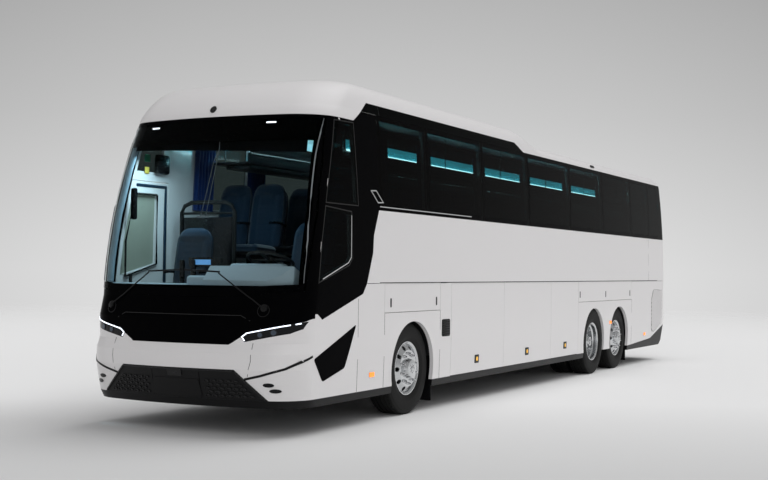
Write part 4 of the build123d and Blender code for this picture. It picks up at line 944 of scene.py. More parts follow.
    def window_seals(self, skin: Skin) -> None:
        """Lay the bright sill strip, the slim frame beside it and the seals of the front windows."""
        strip = stroke([(-4.975, 2.29), (-2.53, 2.29)], 0.010)
        frame = stroke([(-5.167, 2.448), (-5.053, 2.455), (-4.899, 2.337), (-5.016, 2.33)], 0.012, closed=True)
        skin.lay(f"sill_strip_{self.side}", self.face, [*strip, *frame], CHROME, proud=0.003)
        seals = stroke(self.quarter_glass, 0.012, closed=True)
        if self.sign > 0:
            seals += stroke([*up_joint(1.485, 2.24, 0.014), (-5.597, 2.207), (-5.586, 1.731), (-5.65, 1.662)], 0.012,
                            closed=True)
        skin.lay(f"window_seals_{self.side}", self.face, seals, SEAL_RUBBER, proud=0.002)
        if self.sign > 0:
            edge = stroke([(-5.60, 2.17), (-5.612, 1.74), (-5.67, 1.685), (-6.18, 1.52)], 0.010)
            skin.lay("driver_window_edge", self.face, edge, CHROME, proud=0.0025)


# ------------------------------------------------------------------------------ nose
@dataclass
class NoseTrim:
    """Lamps, grille, films and details of the front."""

    cell_pitch: float = 0.078
    row_pitch: float = 0.036
    cell_band: tuple[float, float] = (0.392, 0.545)

    def build(self, skin: Skin, repeats: Repeats) -> None:
        """Lay all trim of the nose.

        Args:
            skin: the body's outside.
            repeats: the trees for the grille cells.
        """
        self.screen_films(skin)
        self.lamps(skin)
        self.grille(skin, repeats)
        self.bumper(skin)
        self.wiper_bosses(skin)

    @staticmethod
    def screen_films(skin: Skin) -> None:
        """Lay the dark films at the head, foot and edges of the windscreen."""
        edge = ((1.170, 3.147), (1.221, 2.66), (1.247, 2.16), (1.243, 1.70), (1.228, 1.405))
        head = [(-1.170, 3.147), (1.170, 3.147), (1.174, 3.115), (-1.174, 3.115)]
        foot = [(1.228, 1.405), (0.6, 1.348), (0.0, 1.335), (-0.6, 1.348), (-1.228, 1.405),
                (-1.232, 1.47), (-0.6, 1.435), (0.0, 1.425), (0.6, 1.435), (1.232, 1.47)]
        sides = [[(s * x, z) for x, z in (*edge[1:4], *[(x - 0.018, z) for x, z in reversed(edge[1:4])])]
                 for s in (1, -1)]
        upper = [[(s * 1.174, 3.115), (s * 1.221, 2.66), (s * 1.203, 2.66), (s * 1.156, 3.115)] for s in (1, -1)]
        lower = [[(s * 1.243, 1.70), (s * 1.232, 1.47), (s * 1.214, 1.467), (s * 1.225, 1.70)] for s in (1, -1)]
        skin.lay("screen_border", Face.FRONT, [head, foot, *sides, *upper, *lower], BLACK_ENAMEL, proud=0.0006)
        # A near-black box behind the head of the windscreen: partly the sunblind housing, partly painted shade of the
        # dark space inside it.
        header = [(-1.14, 2.87), (-0.80, 2.861), (-0.29, 2.837), (0.21, 2.817), (0.66, 2.798), (1.12, 2.786),
                  (1.08, 3.12), (-1.08, 3.12)]
        skin.lay("screen_header", Face.FRONT, [header], HEADER_BOX_AND_SHADE, proud=-0.052, depth=0.058)
        bm = bmesh.new()
        path = []
        for x, z in ((1.125, 1.47), (1.14, 1.70), (1.142, 2.16), (1.115, 2.66), (1.09, 2.90)):
            spot, out = skin.touch(Face.FRONT, -x, z)
            path.append(spot - out * 0.052)
        add_tube(bm, path, 0.034, 12)
        lining = piece_from(mesh_of(bm), "pillar_lining_right", PILLAR_TRIM, 60)
        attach(lining, "body")
        slots = [rounded(oblong(s * 0.715 - 0.052, s * 0.715 + 0.052, 3.067, 3.079), 0.005) for s in (1, -1)]
        skin.lay("header_lights", Face.FRONT, slots, DAY_LIGHT, proud=0.002)
        line = ((1.165, 3.12), (1.174, 2.75), (1.226, 1.90), (1.220, 1.48))
        trims = [quad for s in (1, -1) for quad in stroke([(s * x, z) for x, z in line], 0.007)]
        skin.lay("screen_edge_trims", Face.FRONT, trims, EDGE_ALLOY, proud=0.002)

    @staticmethod
    def lamps(skin: Skin) -> None:
        """Lay the light guides, projector lenses and frames of the headlamps."""
        guides, rings, lenses = [], [], []
        for s in (1, -1):
            guide = [(1.235, 1.096), (1.12, 1.072), (1.0, 1.047), (0.765, 0.998), (0.715, 0.962), (0.742, 0.925)]
            guides += stroke([(s * x, z) for x, z in guide], 0.011)
            for x, z, radius in ((0.90, 0.985, 0.032), (1.03, 1.008, 0.034)):
                rings.append(disc(s * x, z, radius))
                lenses.append(disc(s * x, z, radius * 0.72))
        skin.lay("day_light_guides", Face.FRONT, guides, DAY_LIGHT, proud=0.003)
        skin.lay("projector_rings", Face.FRONT, rings, GRILLE_PLASTIC, proud=0.004)
        skin.lay("projector_lenses", Face.FRONT, lenses, LENS, proud=0.008)

    def grille(self, skin: Skin, repeats: Repeats) -> None:
        """Lay the staggered cells of the lower grille, its plate and its sensor."""
        bm = bmesh.new()
        outer = [(-0.034, 0), (-0.018, 0.0135), (0.018, 0.0135), (0.034, 0), (0.018, -0.0135), (-0.018, -0.0135)]
        rings = [[bm.verts.new((x * k, y * k, z)) for x, y in outer] for k, z in ((1, 0), (0.97, 0.009), (0.7, 0.009),
                                                                                  (0.62, 0.002))]
        for ring, after in zip(rings, rings[1:]):
            for i in range(6):
                bm.faces.new((ring[i], ring[(i + 1) % 6], after[(i + 1) % 6], after[i]))
        bm.faces.new(rings[-1])
        cell = mesh_of(bm)
        parts = []
        low, high = self.cell_band
        rows = int((high - low) / self.row_pitch) + 1
        for row in range(rows):
            z = low + row * self.row_pitch
            reach = 0.985 - (z - 0.358) * (0.985 - 0.668) / 0.292 - 0.05
            start = 0.36 + (row % 2) * self.cell_pitch / 2
            count = int((reach - start) / self.cell_pitch) + 1
            width = (count - 1) * self.cell_pitch
            for s in (1, -1):
                line = repeats.grow(repeats.grid, cell, GRILLE_PLASTIC, Columns=count, Rows=1, Width=width, Height=0.0)
                parts.append(moved(line, Matrix.Translation((s * (start + width / 2), z, 0))))
        mesh = skin.shape(joined(parts), Face.FRONT)
        cells = piece_from(mesh, "grille_cells", GRILLE_PLASTIC)
        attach(cells, "body")
        plate = rounded([(-0.30, 0.375), (0.30, 0.375), (0.27, 0.545), (-0.27, 0.545)], 0.02)
        skin.lay("grille_plate", Face.FRONT, [plate], BLACK_PLASTIC, proud=0.006)
        skin.lay("radar_cover", Face.FRONT, [rounded(oblong(-0.085, 0.085, 0.568, 0.632), 0.012)], GRILLE_PLASTIC,
                 proud=0.008)
        brow = stroke([(-0.66, 0.638), (0.66, 0.638)], 0.014)
        slants = [quad for s in (1, -1) for quad in stroke([(s * 0.672, 0.632), (s * 0.955, 0.372)], 0.016)]
        skin.lay("grille_frame", Face.FRONT, [*brow, *slants], GRILLE_PLASTIC, proud=0.010)

    @staticmethod
    def bumper(skin: Skin) -> None:
        """Lay the dark strips, joints, oval lamps and crease lines of the bumper."""
        strips, joints, ovals, rims = [], [], [], []
        for s in (1, -1):
            strips += stroke([(s * x, z) for x, z in ((0.768, 0.560), (0.93, 0.598), (1.147, 0.666), (1.255, 0.735))],
                             0.022)
            joints += stroke([(s * x, z) for x, z in ((0.83, 0.905), (0.834, 0.732), (0.80, 0.585))], 0.005)
            for x, z in ((1.0, 0.512), (1.055, 0.456)):
                place = [(s * (x + 0.052 * math.cos(a)), z + 0.02 * math.sin(a))
                         for a in (2 * math.pi * k / 18 for k in range(18))]
                rims.append([(s * x + (a - s * x) * 1.25, z + (b - z) * 1.45) for a, b in place])
                ovals.append(place)
        skin.lay("bumper_strips", Face.FRONT, strips, BLACK_PLASTIC, proud=0.003)
        skin.lay("bumper_joints", Face.FRONT, joints, SEAL_RUBBER, proud=0.0005)
        skin.lay("fog_lamp_frames", Face.FRONT, rims, BODY_PAINT, proud=0.005)
        skin.lay("fog_lamps", Face.FRONT, ovals, LAMP_BODY, proud=0.008)
        for side, s in SIDES:
            face = Face.LEFT if s > 0 else Face.RIGHT
            skin.lay(f"corner_strip_{side}", face, stroke([(-6.48, 0.735), (-6.352, 0.775)], 0.022), BLACK_PLASTIC,
                     proud=0.003)
        panel = [(-0.80, 1.115), (-0.70, 1.165), (0.70, 1.165), (0.80, 1.115)]
        skin.lay("mask_crease", Face.FRONT, stroke(panel, 0.007), SEAL_RUBBER, proud=0.001)
        rings = [quad for s in (1, -1) for quad in stroke(disc(s * 0.92, 1.215, 0.058), 0.005, closed=True)]
        skin.lay("wiper_boss_rings", Face.FRONT, rings, GRILLE_PLASTIC, proud=0.0015)
        skin.lay("roof_camera", Face.FRONT, [disc(0.0, 3.235, 0.034)], GRILLE_PLASTIC, proud=0.012)

    @staticmethod
    def wiper_bosses(skin: Skin) -> None:
        """Model the wipers: bosses, arms and blades."""
        bm = bmesh.new()
        for s in (1, -1):
            line = []
            for k in range(13):
                t = k / 12
                spot, out = skin.touch(Face.FRONT, s * (0.92 - 0.50 * t), 1.235 + 0.333 * t)
                line.append(spot + out * 0.016)
            add_tube(bm, line, 0.0068)
            blade = []
            for k in range(13):
                t = k / 12
                spot, out = skin.touch(Face.FRONT, s * (0.43 - 0.41 * t), 1.58 + 0.018 * t)
                blade.append(spot + out * 0.010)
            add_tube(bm, blade, 0.0085, 8)
            spot, out = skin.touch(Face.FRONT, s * 0.925, 1.235)
            turn = Matrix.Translation(spot) @ out.to_track_quat("X", "Z").to_matrix().to_4x4()
            cap = [(0.0, 0.02), (0.0, 0.036), (0.016, 0.034), (0.022, 0.022), (0.023, 0.001), (0.0, 0.001)]
            add_turned(bm, cap, 20, turn)
        arms = piece_from(mesh_of(bm), "wiper_arms", BLACK_PLASTIC)
        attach(arms, "body")
        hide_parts("wipers")


# ------------------------------------------------------------------------------ tail and roof
@dataclass
class TailTrim:
    """Lamps, plate place, vents and joints of the tail, and the small boxes on the roof edge."""

    def build(self, skin: Skin, repeats: Repeats) -> None:
        """Lay all trim of the tail and roof.

        Args:
            skin: the body's outside.
            repeats: the trees for slats.
        """
        bands = []
        for s in (1, -1):
            for low, high in ((0.93, 1.07), (1.30, 1.44), (1.62, 1.72)):
                bands.append(oblong(s * 1.07 - 0.045, s * 1.07 + 0.045, low, high))
        skin.lay("tail_lamp_bands", Face.REAR, bands, LENS, proud=0.004)
        frames = [quad for s in (1, -1) for quad in stroke(
            [(s * 1.0, 0.88), (s * 1.14, 0.88), (s * 1.14, 1.92), (s * 1.0, 1.92)], 0.018, closed=True)]
        skin.lay("tail_lamp_frames", Face.REAR, frames, BLACK_ENAMEL, proud=0.004)
        bm = bmesh.new()
        add_box(bm, (-0.56, -0.012, 0), (0.56, 0.012, 0.016), 0.004)
        slats = repeats.grow(repeats.grid, mesh_of(bm), BLACK_PLASTIC, Columns=1, Rows=11, Width=0.0, Height=0.46)
        moved(slats, Matrix.Translation((0.0, 1.32, 0)))
        vent = piece_from(skin.shape(slats, Face.REAR), "engine_lid_slats", BLACK_PLASTIC)
        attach(vent, "engine_lid")
        skin.lay("plate_place", Face.REAR, [rounded(oblong(-0.26, 0.26, 0.80, 0.92), 0.02)], BLACK_PLASTIC,
                 body="engine_lid", proud=0.004)
        film = stroke([(1.07, 3.126), (-1.07, 3.126), (-1.12, 2.256), (1.12, 2.256)], 0.07, closed=True)
        skin.lay("rear_window_border", Face.REAR, film, BLACK_ENAMEL, proud=0.0006)
        markers = [rounded(oblong(s * 1.0 - 0.06, s * 1.0 + 0.06, 3.17, 3.20), 0.01) for s in (1, -1)]
        skin.lay("tail_high_markers", Face.REAR, markers, RED_LENS, proud=0.006)
        for side, s in SIDES:
            face = Face.LEFT if s > 0 else Face.RIGHT
            box = rounded(oblong(2.40, 2.56, 3.305, 3.335), 0.008)
            skin.lay(f"roof_edge_box_{side}", face, [box], BLACK_PLASTIC, proud=0.014)
            skin.lay(f"roof_joint_{side}", face, stroke([(-4.91, 3.275), (-4.93, 3.372)], 0.006), SEAL_RUBBER,
                     proud=0.0015)


# ------------------------------------------------------------------------------ wheels
@dataclass
class Wheel:
    """Tyres, nuts and cap of one wheel."""

    kind: str
    side: str
    sign: int
    x: float
    y: float
    twins: tuple[float, ...]
    face_x: float
    cap_x: float
    nut_circle: float = 0.1675
    nuts: int = 10
    profile: tuple[Point2, ...] = field(default=(
        (0.006, 0.504), (0.008, 0.5145), (0.046, 0.5145), (0.048, 0.503), (0.055, 0.503), (0.057, 0.5145),
        (0.092, 0.5135), (0.094, 0.504), (0.100, 0.504), (0.102, 0.5125), (0.118, 0.510), (0.129, 0.504),
        (0.1375, 0.486), (0.1400, 0.476), (0.1418, 0.474), (0.1428, 0.466), (0.1455, 0.440), (0.1470, 0.400),
        (0.1445, 0.372), (0.1448, 0.366), (0.1432, 0.358), (0.137, 0.334), (0.126, 0.311), (0.112, 0.3018),
        (0.104, 0.2870), (0.066, 0.2870), (0.066, 0.302), (0.098, 0.330), (0.121, 0.362), (0.129, 0.400),
        (0.125, 0.450), (0.112, 0.484), (0.0, 0.492)))

    def build(self, repeats: Repeats) -> None:
        """Model the wheel's pieces.

        Args:
            repeats: the trees for nuts and lugs.
        """
        body = f"{self.kind}_wheel_{self.side}"
        out = Matrix.Translation((self.sign * self.x, self.y, HUB_Z)) @ Matrix.Diagonal((self.sign, 1, 1, 1))
        bm = bmesh.new()
        section = [*self.profile, *[(-x, r) for x, r in reversed(self.profile[:-1])]]
        for run in self.twins:
            add_turned(bm, section, 96, out @ Matrix.Translation((run, 0, 0)))
        tyre = mesh_of(bm)
        lug_shape = bmesh.new()
        add_box(lug_shape, (-0.004, -0.011, -0.013), (0.0006, 0.011, 0.013), 0.002)
        lug = mesh_of(lug_shape)
        upright = Matrix.Rotation(math.pi / 2, 4, "Y")
        lugs = []
        for run in self.twins:
            for end in (1, -1):
                ring = repeats.grow(repeats.ring, lug, TYRE_RUBBER, Count=60, Radius=0.5135)
                lugs.append(moved(ring, out @ Matrix.Translation((run + end * 0.106, 0, 0)) @ upright))
        tyre = piece_from(joined([tyre, *lugs]), f"{self.kind}_tyres_{self.side}", TYRE_RUBBER, 30)
        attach(tyre, body)
        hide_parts(f"{self.kind}_tyre_{self.side}")
        self.nut_ring(repeats, body, out)

    def nut_ring(self, repeats: Repeats, body: str, out: Matrix) -> None:
        """Model the ring of nuts, the flange under them and the hub cap.

        Args:
            repeats: the trees.
            body: the wheel's body.
            out: the wheel's place, with X outward.
        """
        bm = bmesh.new()
        bmesh.ops.create_cone(bm, cap_ends=True, segments=6, radius1=0.0165, radius2=0.0165, depth=0.022,
                              matrix=Matrix.Translation((0, 0, 0.013)))
        bmesh.ops.create_cone(bm, cap_ends=True, segments=16, radius1=0.021, radius2=0.0195, depth=0.005,
                              matrix=Matrix.Translation((0, 0, 0.0022)))
        bmesh.ops.create_cone(bm, cap_ends=True, segments=12, radius1=0.011, radius2=0.009, depth=0.016,
                              matrix=Matrix.Translation((0, 0, 0.031)))
        nut = mesh_of(bm)
        ring = repeats.grow(repeats.ring, nut, CHROME, Count=self.nuts, Radius=self.nut_circle)
        upright = Matrix.Translation((self.face_x, 0, 0)) @ Matrix.Rotation(math.pi / 2, 4, "Y")
        parts = [moved(ring, out @ upright)]
        bolt = bmesh.new()
        bmesh.ops.create_cone(bolt, cap_ends=True, segments=8, radius1=0.007, radius2=0.006, depth=0.007,
                              matrix=Matrix.Translation((0, 0, 0.0032)))
        small = repeats.grow(repeats.ring, mesh_of(bolt), CHROME, Count=8, Radius=0.047)
        cap = Matrix.Translation((self.cap_x, 0, 0)) @ Matrix.Rotation(math.pi / 2, 4, "Y")
        parts.append(moved(small, out @ cap))
        thing = piece_from(joined(parts), f"{self.kind}_nuts_{self.side}", CHROME, 30)
        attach(thing, body)
        bm = bmesh.new()
        add_turned(bm, [(-0.004, 0.0005), (-0.004, 0.034), (0.006, 0.033), (0.010, 0.026), (0.012, 0.0005)], 32,
                   out @ Matrix.Translation((self.cap_x, 0, 0)))
        hub = piece_from(mesh_of(bm), f"{self.kind}_hub_cap_{self.side}", RIM_ALLOY, 40)
        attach(hub, body)


def wheels() -> list[Wheel]:
    """Return all six wheels. A front or tag wheel is dished out; a twin wheel is dished in."""
    out = []
    for side, sign in SIDES:
        out.append(Wheel("front", side, sign, 1.065, FRONT_AXLE, (0.0,), 0.142, 0.196))
        out.append(Wheel("drive", side, sign, 1.110, DRIVE_AXLE, (0.0, -0.33), -0.150, 0.090))
        out.append(Wheel("tag", side, sign, 1.075, TAG_AXLE, (0.0,), 0.142, 0.196))
    return out


# ------------------------------------------------------------------------------ seats
@dataclass
class Seat:
    """One seat in its own space: x across, y back, z up from the floor, the sitter facing -Y."""

    width: float = 0.44
    back_foot: tuple[float, float] = (-0.045, 0.42)
    back_head: tuple[float, float] = (0.092, 1.165)
    thick: float = 0.095
    dome: float = 0.30

    def pad(self, size: tuple[float, float, float], crown: float, channels: Callable[[float, float], float],
            place: Callable[[Vector], Vector], cells: tuple[int, int] = (14, 22)) -> bpy.types.Mesh:
        """Make one padded form: a crowned slab with pulled-in sides and sewn channels.

        Args:
            size: width, length and thickness.
            crown: how far its face swells.
            channels: depth of the sewn channels over (across, along), each from -1 to 1.
            place: moves a point (across, along, out) to the seat's space.
            cells: faces across and along.

        Returns:
            The closed mesh.
        """
        bm = bmesh.new()
        across, along = cells
        levels = 3
        grid: dict[tuple[int, int, int], bmesh.types.BMVert] = {}
        for i in range(across + 1):
            for j in range(along + 1):
                for k in range(levels + 1):
                    if 0 < i < across and 0 < j < along and 0 < k < levels:
                        continue
                    u, v, w = 2 * i / across - 1, 2 * j / along - 1, k / levels
                    round_u = abs(u) ** 7
                    round_v = abs(v) ** 9
                    edge = max(round_u, round_v)
                    pull = 1 - 0.035 * (1 - (2 * w - 1) ** 2) - 0.05 * (abs(v) ** 6 * abs(u) ** 6)
                    out = (w - 0.5) * size[2] * (1 - 0.55 * edge)
                    if k == levels:
                        out += crown * (1 - u * u) * (1 - v * v) ** 0.5 - channels(u, v) * (1 - edge)
                    grid[i, j, k] = bm.verts.new(place(Vector((u * size[0] / 2 * pull, v * size[1] / 2 * pull, out))))
        for i in range(across):
            for j in range(along):
                for k in (0, levels):
                    bm.faces.new([grid[i + a, j + b, k] for a, b in ((0, 0), (1, 0), (1, 1), (0, 1))])
        for i in range(across):
            for k in range(levels):
                for j in (0, along):
                    bm.faces.new([grid[i + a, j, k + b] for a, b in ((0, 0), (1, 0), (1, 1), (0, 1))])
        for j in range(along):
            for k in range(levels):
                for i in (0, across):
                    bm.faces.new([grid[i, j + a, k + b] for a, b in ((0, 0), (1, 0), (1, 1), (0, 1))])
        return mesh_of(bm)

    @staticmethod
    def ribs(u: float, v: float) -> float:
        """Depth of the sewn channels: ribs across the middle and one seam along each bolster."""
        if abs(abs(u) - 0.62) < 0.08:
            return 0.011
        if abs(u) < 0.6:
            return 0.006 if int((v + 1) * 11) % 2 else 0.0
        return -0.012

    def cushion(self) -> bpy.types.Mesh:
        """Make the seat cushion."""
        return self.pad((self.width, 0.43, 0.10), 0.012, self.ribs,
                        lambda p: Vector((p.x, -0.262 + p.y, 0.375 + p.z - 0.06 * p.y)), (14, 18))

    def lean(self, p: Vector) -> Vector:
        """Turn a point (across, along, out) of the back onto its leaning plane."""
        (y0, z0), (y1, z1) = self.back_foot, self.back_head
        along = Vector((0, y1 - y0, z1 - z0)).normalized()
        out = Vector((0, -along.z, along.y))
        middle = Vector((0, (y0 + y1) / 2, (z0 + z1) / 2)) - out * self.thick / 2
        return middle + Vector((p.x, 0, 0)) + along * p.y + out * p.z

    def back(self) -> bpy.types.Mesh:
        """Make the back: shoulders slightly narrower than the hips, with a pillow at the head."""
        def channels(u: float, v: float) -> float:
            if v > 0.60:
                return -0.020 * (1 - u * u) if v > 0.68 else 0.012
            return self.ribs(u, v)

        def place(p: Vector) -> Vector:
            taper = 1 - 0.06 * max(p.y / 0.375, 0) - self.dome * max((p.y - 0.19) / 0.185, 0) ** 3
            return self.lean(Vector((p.x * taper, p.y, p.z)))

        return self.pad((self.width, 0.75, self.thick), 0.014, channels, place, (14, 34))

    def frame(self, leg: float = 0.05) -> bpy.types.Mesh:
        """Make the hard parts: pan, pedestal, back shell rim and armrests."""
        bm = bmesh.new()
        half = self.width / 2
        add_box(bm, (-half + 0.02, -0.46, 0.295), (half - 0.02, -0.03, 0.325), 0.01)
        add_box(bm, (-leg / 2, -0.33, 0.004), (leg / 2, -0.02, 0.30), 0.012)
        add_box(bm, (-0.14, -0.34, 0.002), (0.14, 0.0, 0.02), 0.006)
        for s in (1, -1):
            foot = self.lean(Vector((s * half * 0.9, -0.30, -0.05)))
            head = self.lean(Vector((s * half * 0.8, 0.26, -0.05)))
            add_tube(bm, [foot, head], 0.012, 8)
            pivot = self.lean(Vector((s * (half - 0.004), -0.09, 0.0)))
            tip = pivot + Vector((0, -0.26, -0.005))
            add_tube(bm, [pivot, (pivot + tip) / 2 + Vector((0, 0, 0.006)), tip], 0.015, 8)
        return mesh_of(bm)


@dataclass
class Seating:
    """All seats of the cabin."""

    rows: int = 14
    pitch: float = 0.79
    first: float = NOSE + 2.28
    places_x: tuple[float, float] = (0.47, 0.93)
    seat: Seat = field(default_factory=Seat)

    def build(self) -> None:
        """Model the passenger seats of both sides and the two crew seats."""
        cushion, back, hard = self.seat.cushion(), self.seat.back(), self.seat.frame()
        for side, sign in SIDES:
            spots = [Matrix.Translation((sign * x, self.first + row * self.pitch, FLOOR))
                     for row in range(self.rows) for x in self.places_x]
            parts = ((f"seat_cushions_{side}", cushion, SEAT_PLUSH, True),
                     (f"seat_backs_{side}", back, SEAT_PLUSH, True),
                     (f"seat_frames_{side}", hard, GRILLE_PLASTIC, False))
            for name, shape, finish, soft in parts:
                copies = [moved(shape.copy(), spot) for spot in spots]
                thing = piece_from(joined(copies), name, finish, 60)
                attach(thing, "body")
                if "backs" in name:
                    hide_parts(f"passenger_seats_{side}")
                log.info("seats: %s has %d faces", name, len(thing.data.polygons))
        self.crew()

    def crew(self) -> None:
        """Model the driver's seat and the guide's folding seat."""
        driver = Seat(width=0.50)
        guide = Seat(width=0.46, dome=0.42)
        spots = ((driver, Matrix.Translation((0.65, NOSE + 1.45, COCKPIT_FLOOR))),
                 (guide, Matrix.Translation((-0.38, NOSE + 0.765 - 0.01, COCKPIT_FLOOR - 0.08))
                  @ Matrix.Diagonal((1, 0.72, 1, 1))))
        pads = joined([moved(make(), spot) for one, spot in spots for make in (one.cushion, one.back)])
        thing = piece_from(pads, "crew_seat_pads", SEAT_LEATHER, 60)
        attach(thing, "body")
        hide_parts("crew_seats")
        hard = joined([moved(one.frame(0.3), spot) for one, spot in spots])
        frames = piece_from(hard, "crew_seat_frames", GRILLE_PLASTIC, 40)
        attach(frames, "body")


# ------------------------------------------------------------------------------ curtains
@dataclass
class Curtains:
    """Gathered curtains tied to the window posts of both sides."""

    width: float = 0.36
    pleats: int = 6
    depth: float = 0.026
    low: float = 2.285
    high: float = 3.06
    thick: float = 0.0012
    inset: float = 0.078

    def build(self, room: Skin) -> None:
        """Model the curtains of each side as one sheet piece.

        Args:
            room: the outside of the body, for the wall's lean.
        """
        for side, sign in SIDES:
            bm = bmesh.new()
            run = 0.0
            for index, joint in enumerate(PANE_JOINTS):
                start = joint + 0.02 if index == 0 else joint - 0.085
                run = self.strip(bm, sign, start, room)
            thing = piece_from(mesh_of(bm, outward=False), f"window_curtains_{side}", CURTAIN_CLOTH, 60)
            solid = thing.modifiers.new("cloth", "SOLIDIFY")
            solid.thickness = self.thick
            solid.offset = 0
            thing = piece_from(baked(thing), f"window_curtains_{side}", CURTAIN_CLOTH, 60)
            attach(thing, "body")
            if side == "left":
                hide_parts("curtains")

    def strip(self, bm: bmesh.types.BMesh, sign: int, start: float, room: Skin) -> float:
        """Add one pleated strip and return the length of its cloth across."""
        steps = self.pleats * 14
        line = []
        for k in range(steps + 1):
            t = k / steps
            line.append((start + self.width * t, self.depth * math.sin(2 * math.pi * self.pleats * t)))
        rows = []
        for j in range(13):
            z = self.low + (self.high - self.low) * j / 12
            spot, _ = room.touch(Face.LEFT if sign > 0 else Face.RIGHT, start + 0.03, z)
            wall = abs(spot.x) - self.inset
            rows.append([bm.verts.new((sign * (wall + wave), y, z)) for y, wave in line])
        for row, after in zip(rows, rows[1:]):
            for k in range(steps):
                bm.faces.new((row[k], row[k + 1], after[k + 1], after[k]))
        return sum((Vector(b) - Vector(a)).length for a, b in zip(line, line[1:]))


# ------------------------------------------------------------------------------ cabin
@dataclass
class Cabin:
    """What shows through the glass: dash, displays, rails, door frame, lining and light strips."""

    def build(self) -> None:
        """Model the pieces of the cabin."""
        self.light_strips()
        self.rails()
        self.dash()
        self.pillars()
        self.lining()

    @staticmethod
    def place(bm: bmesh.types.BMesh, name: str, finish: Finish, smooth: float = 35.0, body: str = "body") -> None:
        """Make a piece of a bmesh, riding on a body.

        Args:
            bm: the bmesh.
            name: the piece's name.
            finish: its finish.
            smooth: the angle in degrees above which an edge stays sharp.
            body: the body that carries it.
        """
        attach(piece_from(mesh_of(bm), name, finish, smooth), body)
        log.info("cabin: %s", name)

    def boxes(self, name: str, finish: Finish, table: Sequence[tuple], smooth: float = 35.0,
              body: str = "body") -> None:
        """Make a piece of rounded boxes.

        Args:
            name: the piece's name.
            finish: its finish.
            table: rows of lowest corner, highest corner and rounding.
            smooth: the angle in degrees above which an edge stays sharp.
            body: the body that carries it.
        """
        bm = bmesh.new()
        for low, high, edge in table:
            add_box(bm, low, high, edge)
        self.place(bm, name, finish, smooth, body)

    def light_strips(self) -> None:
        """Model the light guides along both racks, each before a glowing teal band on a dark back; the band is painted
        light, the guides' light falling on the cove.
        """
        start, pitch, run = -4.62, 1.80, 1.79
        bm, film, back = bmesh.new(), bmesh.new(), bmesh.new()
        for s in (1, -1):
            for k in range(5):
                y = start + k * pitch
                add_tube(bm, [(s * 0.650, y, 2.954), (s * 0.650, y + run, 2.954)], 0.012, 8)
            # The glowing band is painted light: the light of the guides on the cove.
            add_box(film, (s * 0.634 - 0.002, start, 2.968), (s * 0.634 + 0.002, 4.38, 3.070))
            add_box(back, (s * 0.624 - 0.006, start - 0.02, 2.963), (s * 0.624 + 0.006, 4.40, 3.075), 0.002)
        self.racks()
        self.place(bm, "rack_lights", RACK_LIGHT)
        self.place(film, "rack_light_coves", LED_SPILL_GLOW)
        self.place(back, "rack_cove_backs", RACK_TRIM)

    @staticmethod
    def racks() -> None:
        """Model both luggage racks in place of their node: lip, shelf and slim hanger rods."""
        bm = bmesh.new()
        front, rear = RACK_ENDS
        for s in (1, -1):
            for across, head, edge in ((RACK_LIP, LIP_HEAD, 0.008), (RACK_SHELF, SHELF_HEAD, 0.004)):
                inner, outer = sorted(s * x for x in across)
                add_box(bm, (inner, front, RACK_FOOT), (outer, rear, head), edge)
            for k in range(7):
                y = front + 0.115 + 1.795 * k
                add_tube(bm, [(s * 1.015, y, SHELF_HEAD - 0.002), (s * 1.015, y, CEILING)], 0.006, 8)
        thing = piece_from(mesh_of(bm), "luggage_racks_trim", RACK_TRIM)
        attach(thing, "body")
        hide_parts("luggage_racks")

    def rails(self) -> None:
        """Model the handrails round the stair and behind the driver, with their panels."""
        bm = bmesh.new()
        base = FLOOR + 0.002
        arch = ((0.0, base), (0.0, 2.24), (0.04, 2.31), (0.13, 2.345))
        left, right = -1.02, -0.31
        hoop = [(left + run, HOOP_Y, z) for run, z in arch]
        hoop += [(right - run, HOOP_Y, z) for run, z in reversed(arch)]
        add_tube(bm, hoop, 0.024, 12)
        add_tube(bm, [(left, HOOP_Y, 2.225), (right, HOOP_Y, 2.225)], 0.014, 10)
        add_tube(bm, [(x, PARTITION_Y, z) for x, z in ((0.36, base), (0.36, 2.02), (0.42, 2.08), (1.12, 2.08))],
                 0.02, 12)
        self.place(bm, "stair_rails", WHEEL_LEATHER, 60)
        half = 0.008
        self.boxes("screen_panels", GRILLE_PLASTIC, (
            ((left + 0.03, HOOP_Y - half, base), (right - 0.03, HOOP_Y + half, 2.18), 0.006),
            ((0.39, PARTITION_Y - half, base), (1.13, PARTITION_Y + half, 2.04), 0.006)))

    def dash(self) -> None:
        """Model the dash: instrument hood, switch panels, display stand and sunblind pulls."""
        self.boxes("dash_hood", DASH_TRIM, (
            ((0.34, -6.43, 1.55), (0.96, -6.30, 1.665), 0.03),
            ((-1.10, -6.50, 1.418), (0.10, -6.40, 1.46), 0.018),
            ((-0.10, -6.55, 1.418), (0.16, -6.33, 1.54), 0.03)), 50)
        self.boxes("instruments", SCREEN_PANEL, (
            ((0.40, -6.302, 1.565), (0.90, -6.292, 1.65), 0.004),
            ((0.16, -6.345, 1.50), (0.33, -6.333, 1.63), 0.004)))
        legs = [((x - 0.025, -6.40, 1.421), (x + 0.025, -6.36, 1.70), 0.012) for x in (-0.27, -0.13)]
        self.boxes("guide_display", GRILLE_PLASTIC, (*legs, ((-0.20, -6.375, 1.625), (0.20, -6.34, 1.725), 0.012)))
        self.boxes("guide_display_screen", LIT_SCREEN, (((-0.12, -6.379, 1.650), (0.08, -6.374, 1.702), 0.0),))
        rods = bmesh.new()
        for path, radius, sides in (
                (((0.110, -6.289, 3.029), (0.165, -6.370, 2.822), (0.155, -6.577, 2.126)), 0.004, 6),
                (((0.165, -6.370, 2.812), (0.134, -6.418, 2.693), (0.110, -6.530, 2.30), (0.090, -6.575, 2.126)),
                 0.004, 6),
                (((0.055, -6.580, 2.122), (0.196, -6.575, 2.122)), 0.009, 8)):
            add_tube(rods, path, radius, sides)
        self.place(rods, "sunblind_pull_rods", EDGE_ALLOY, 60)

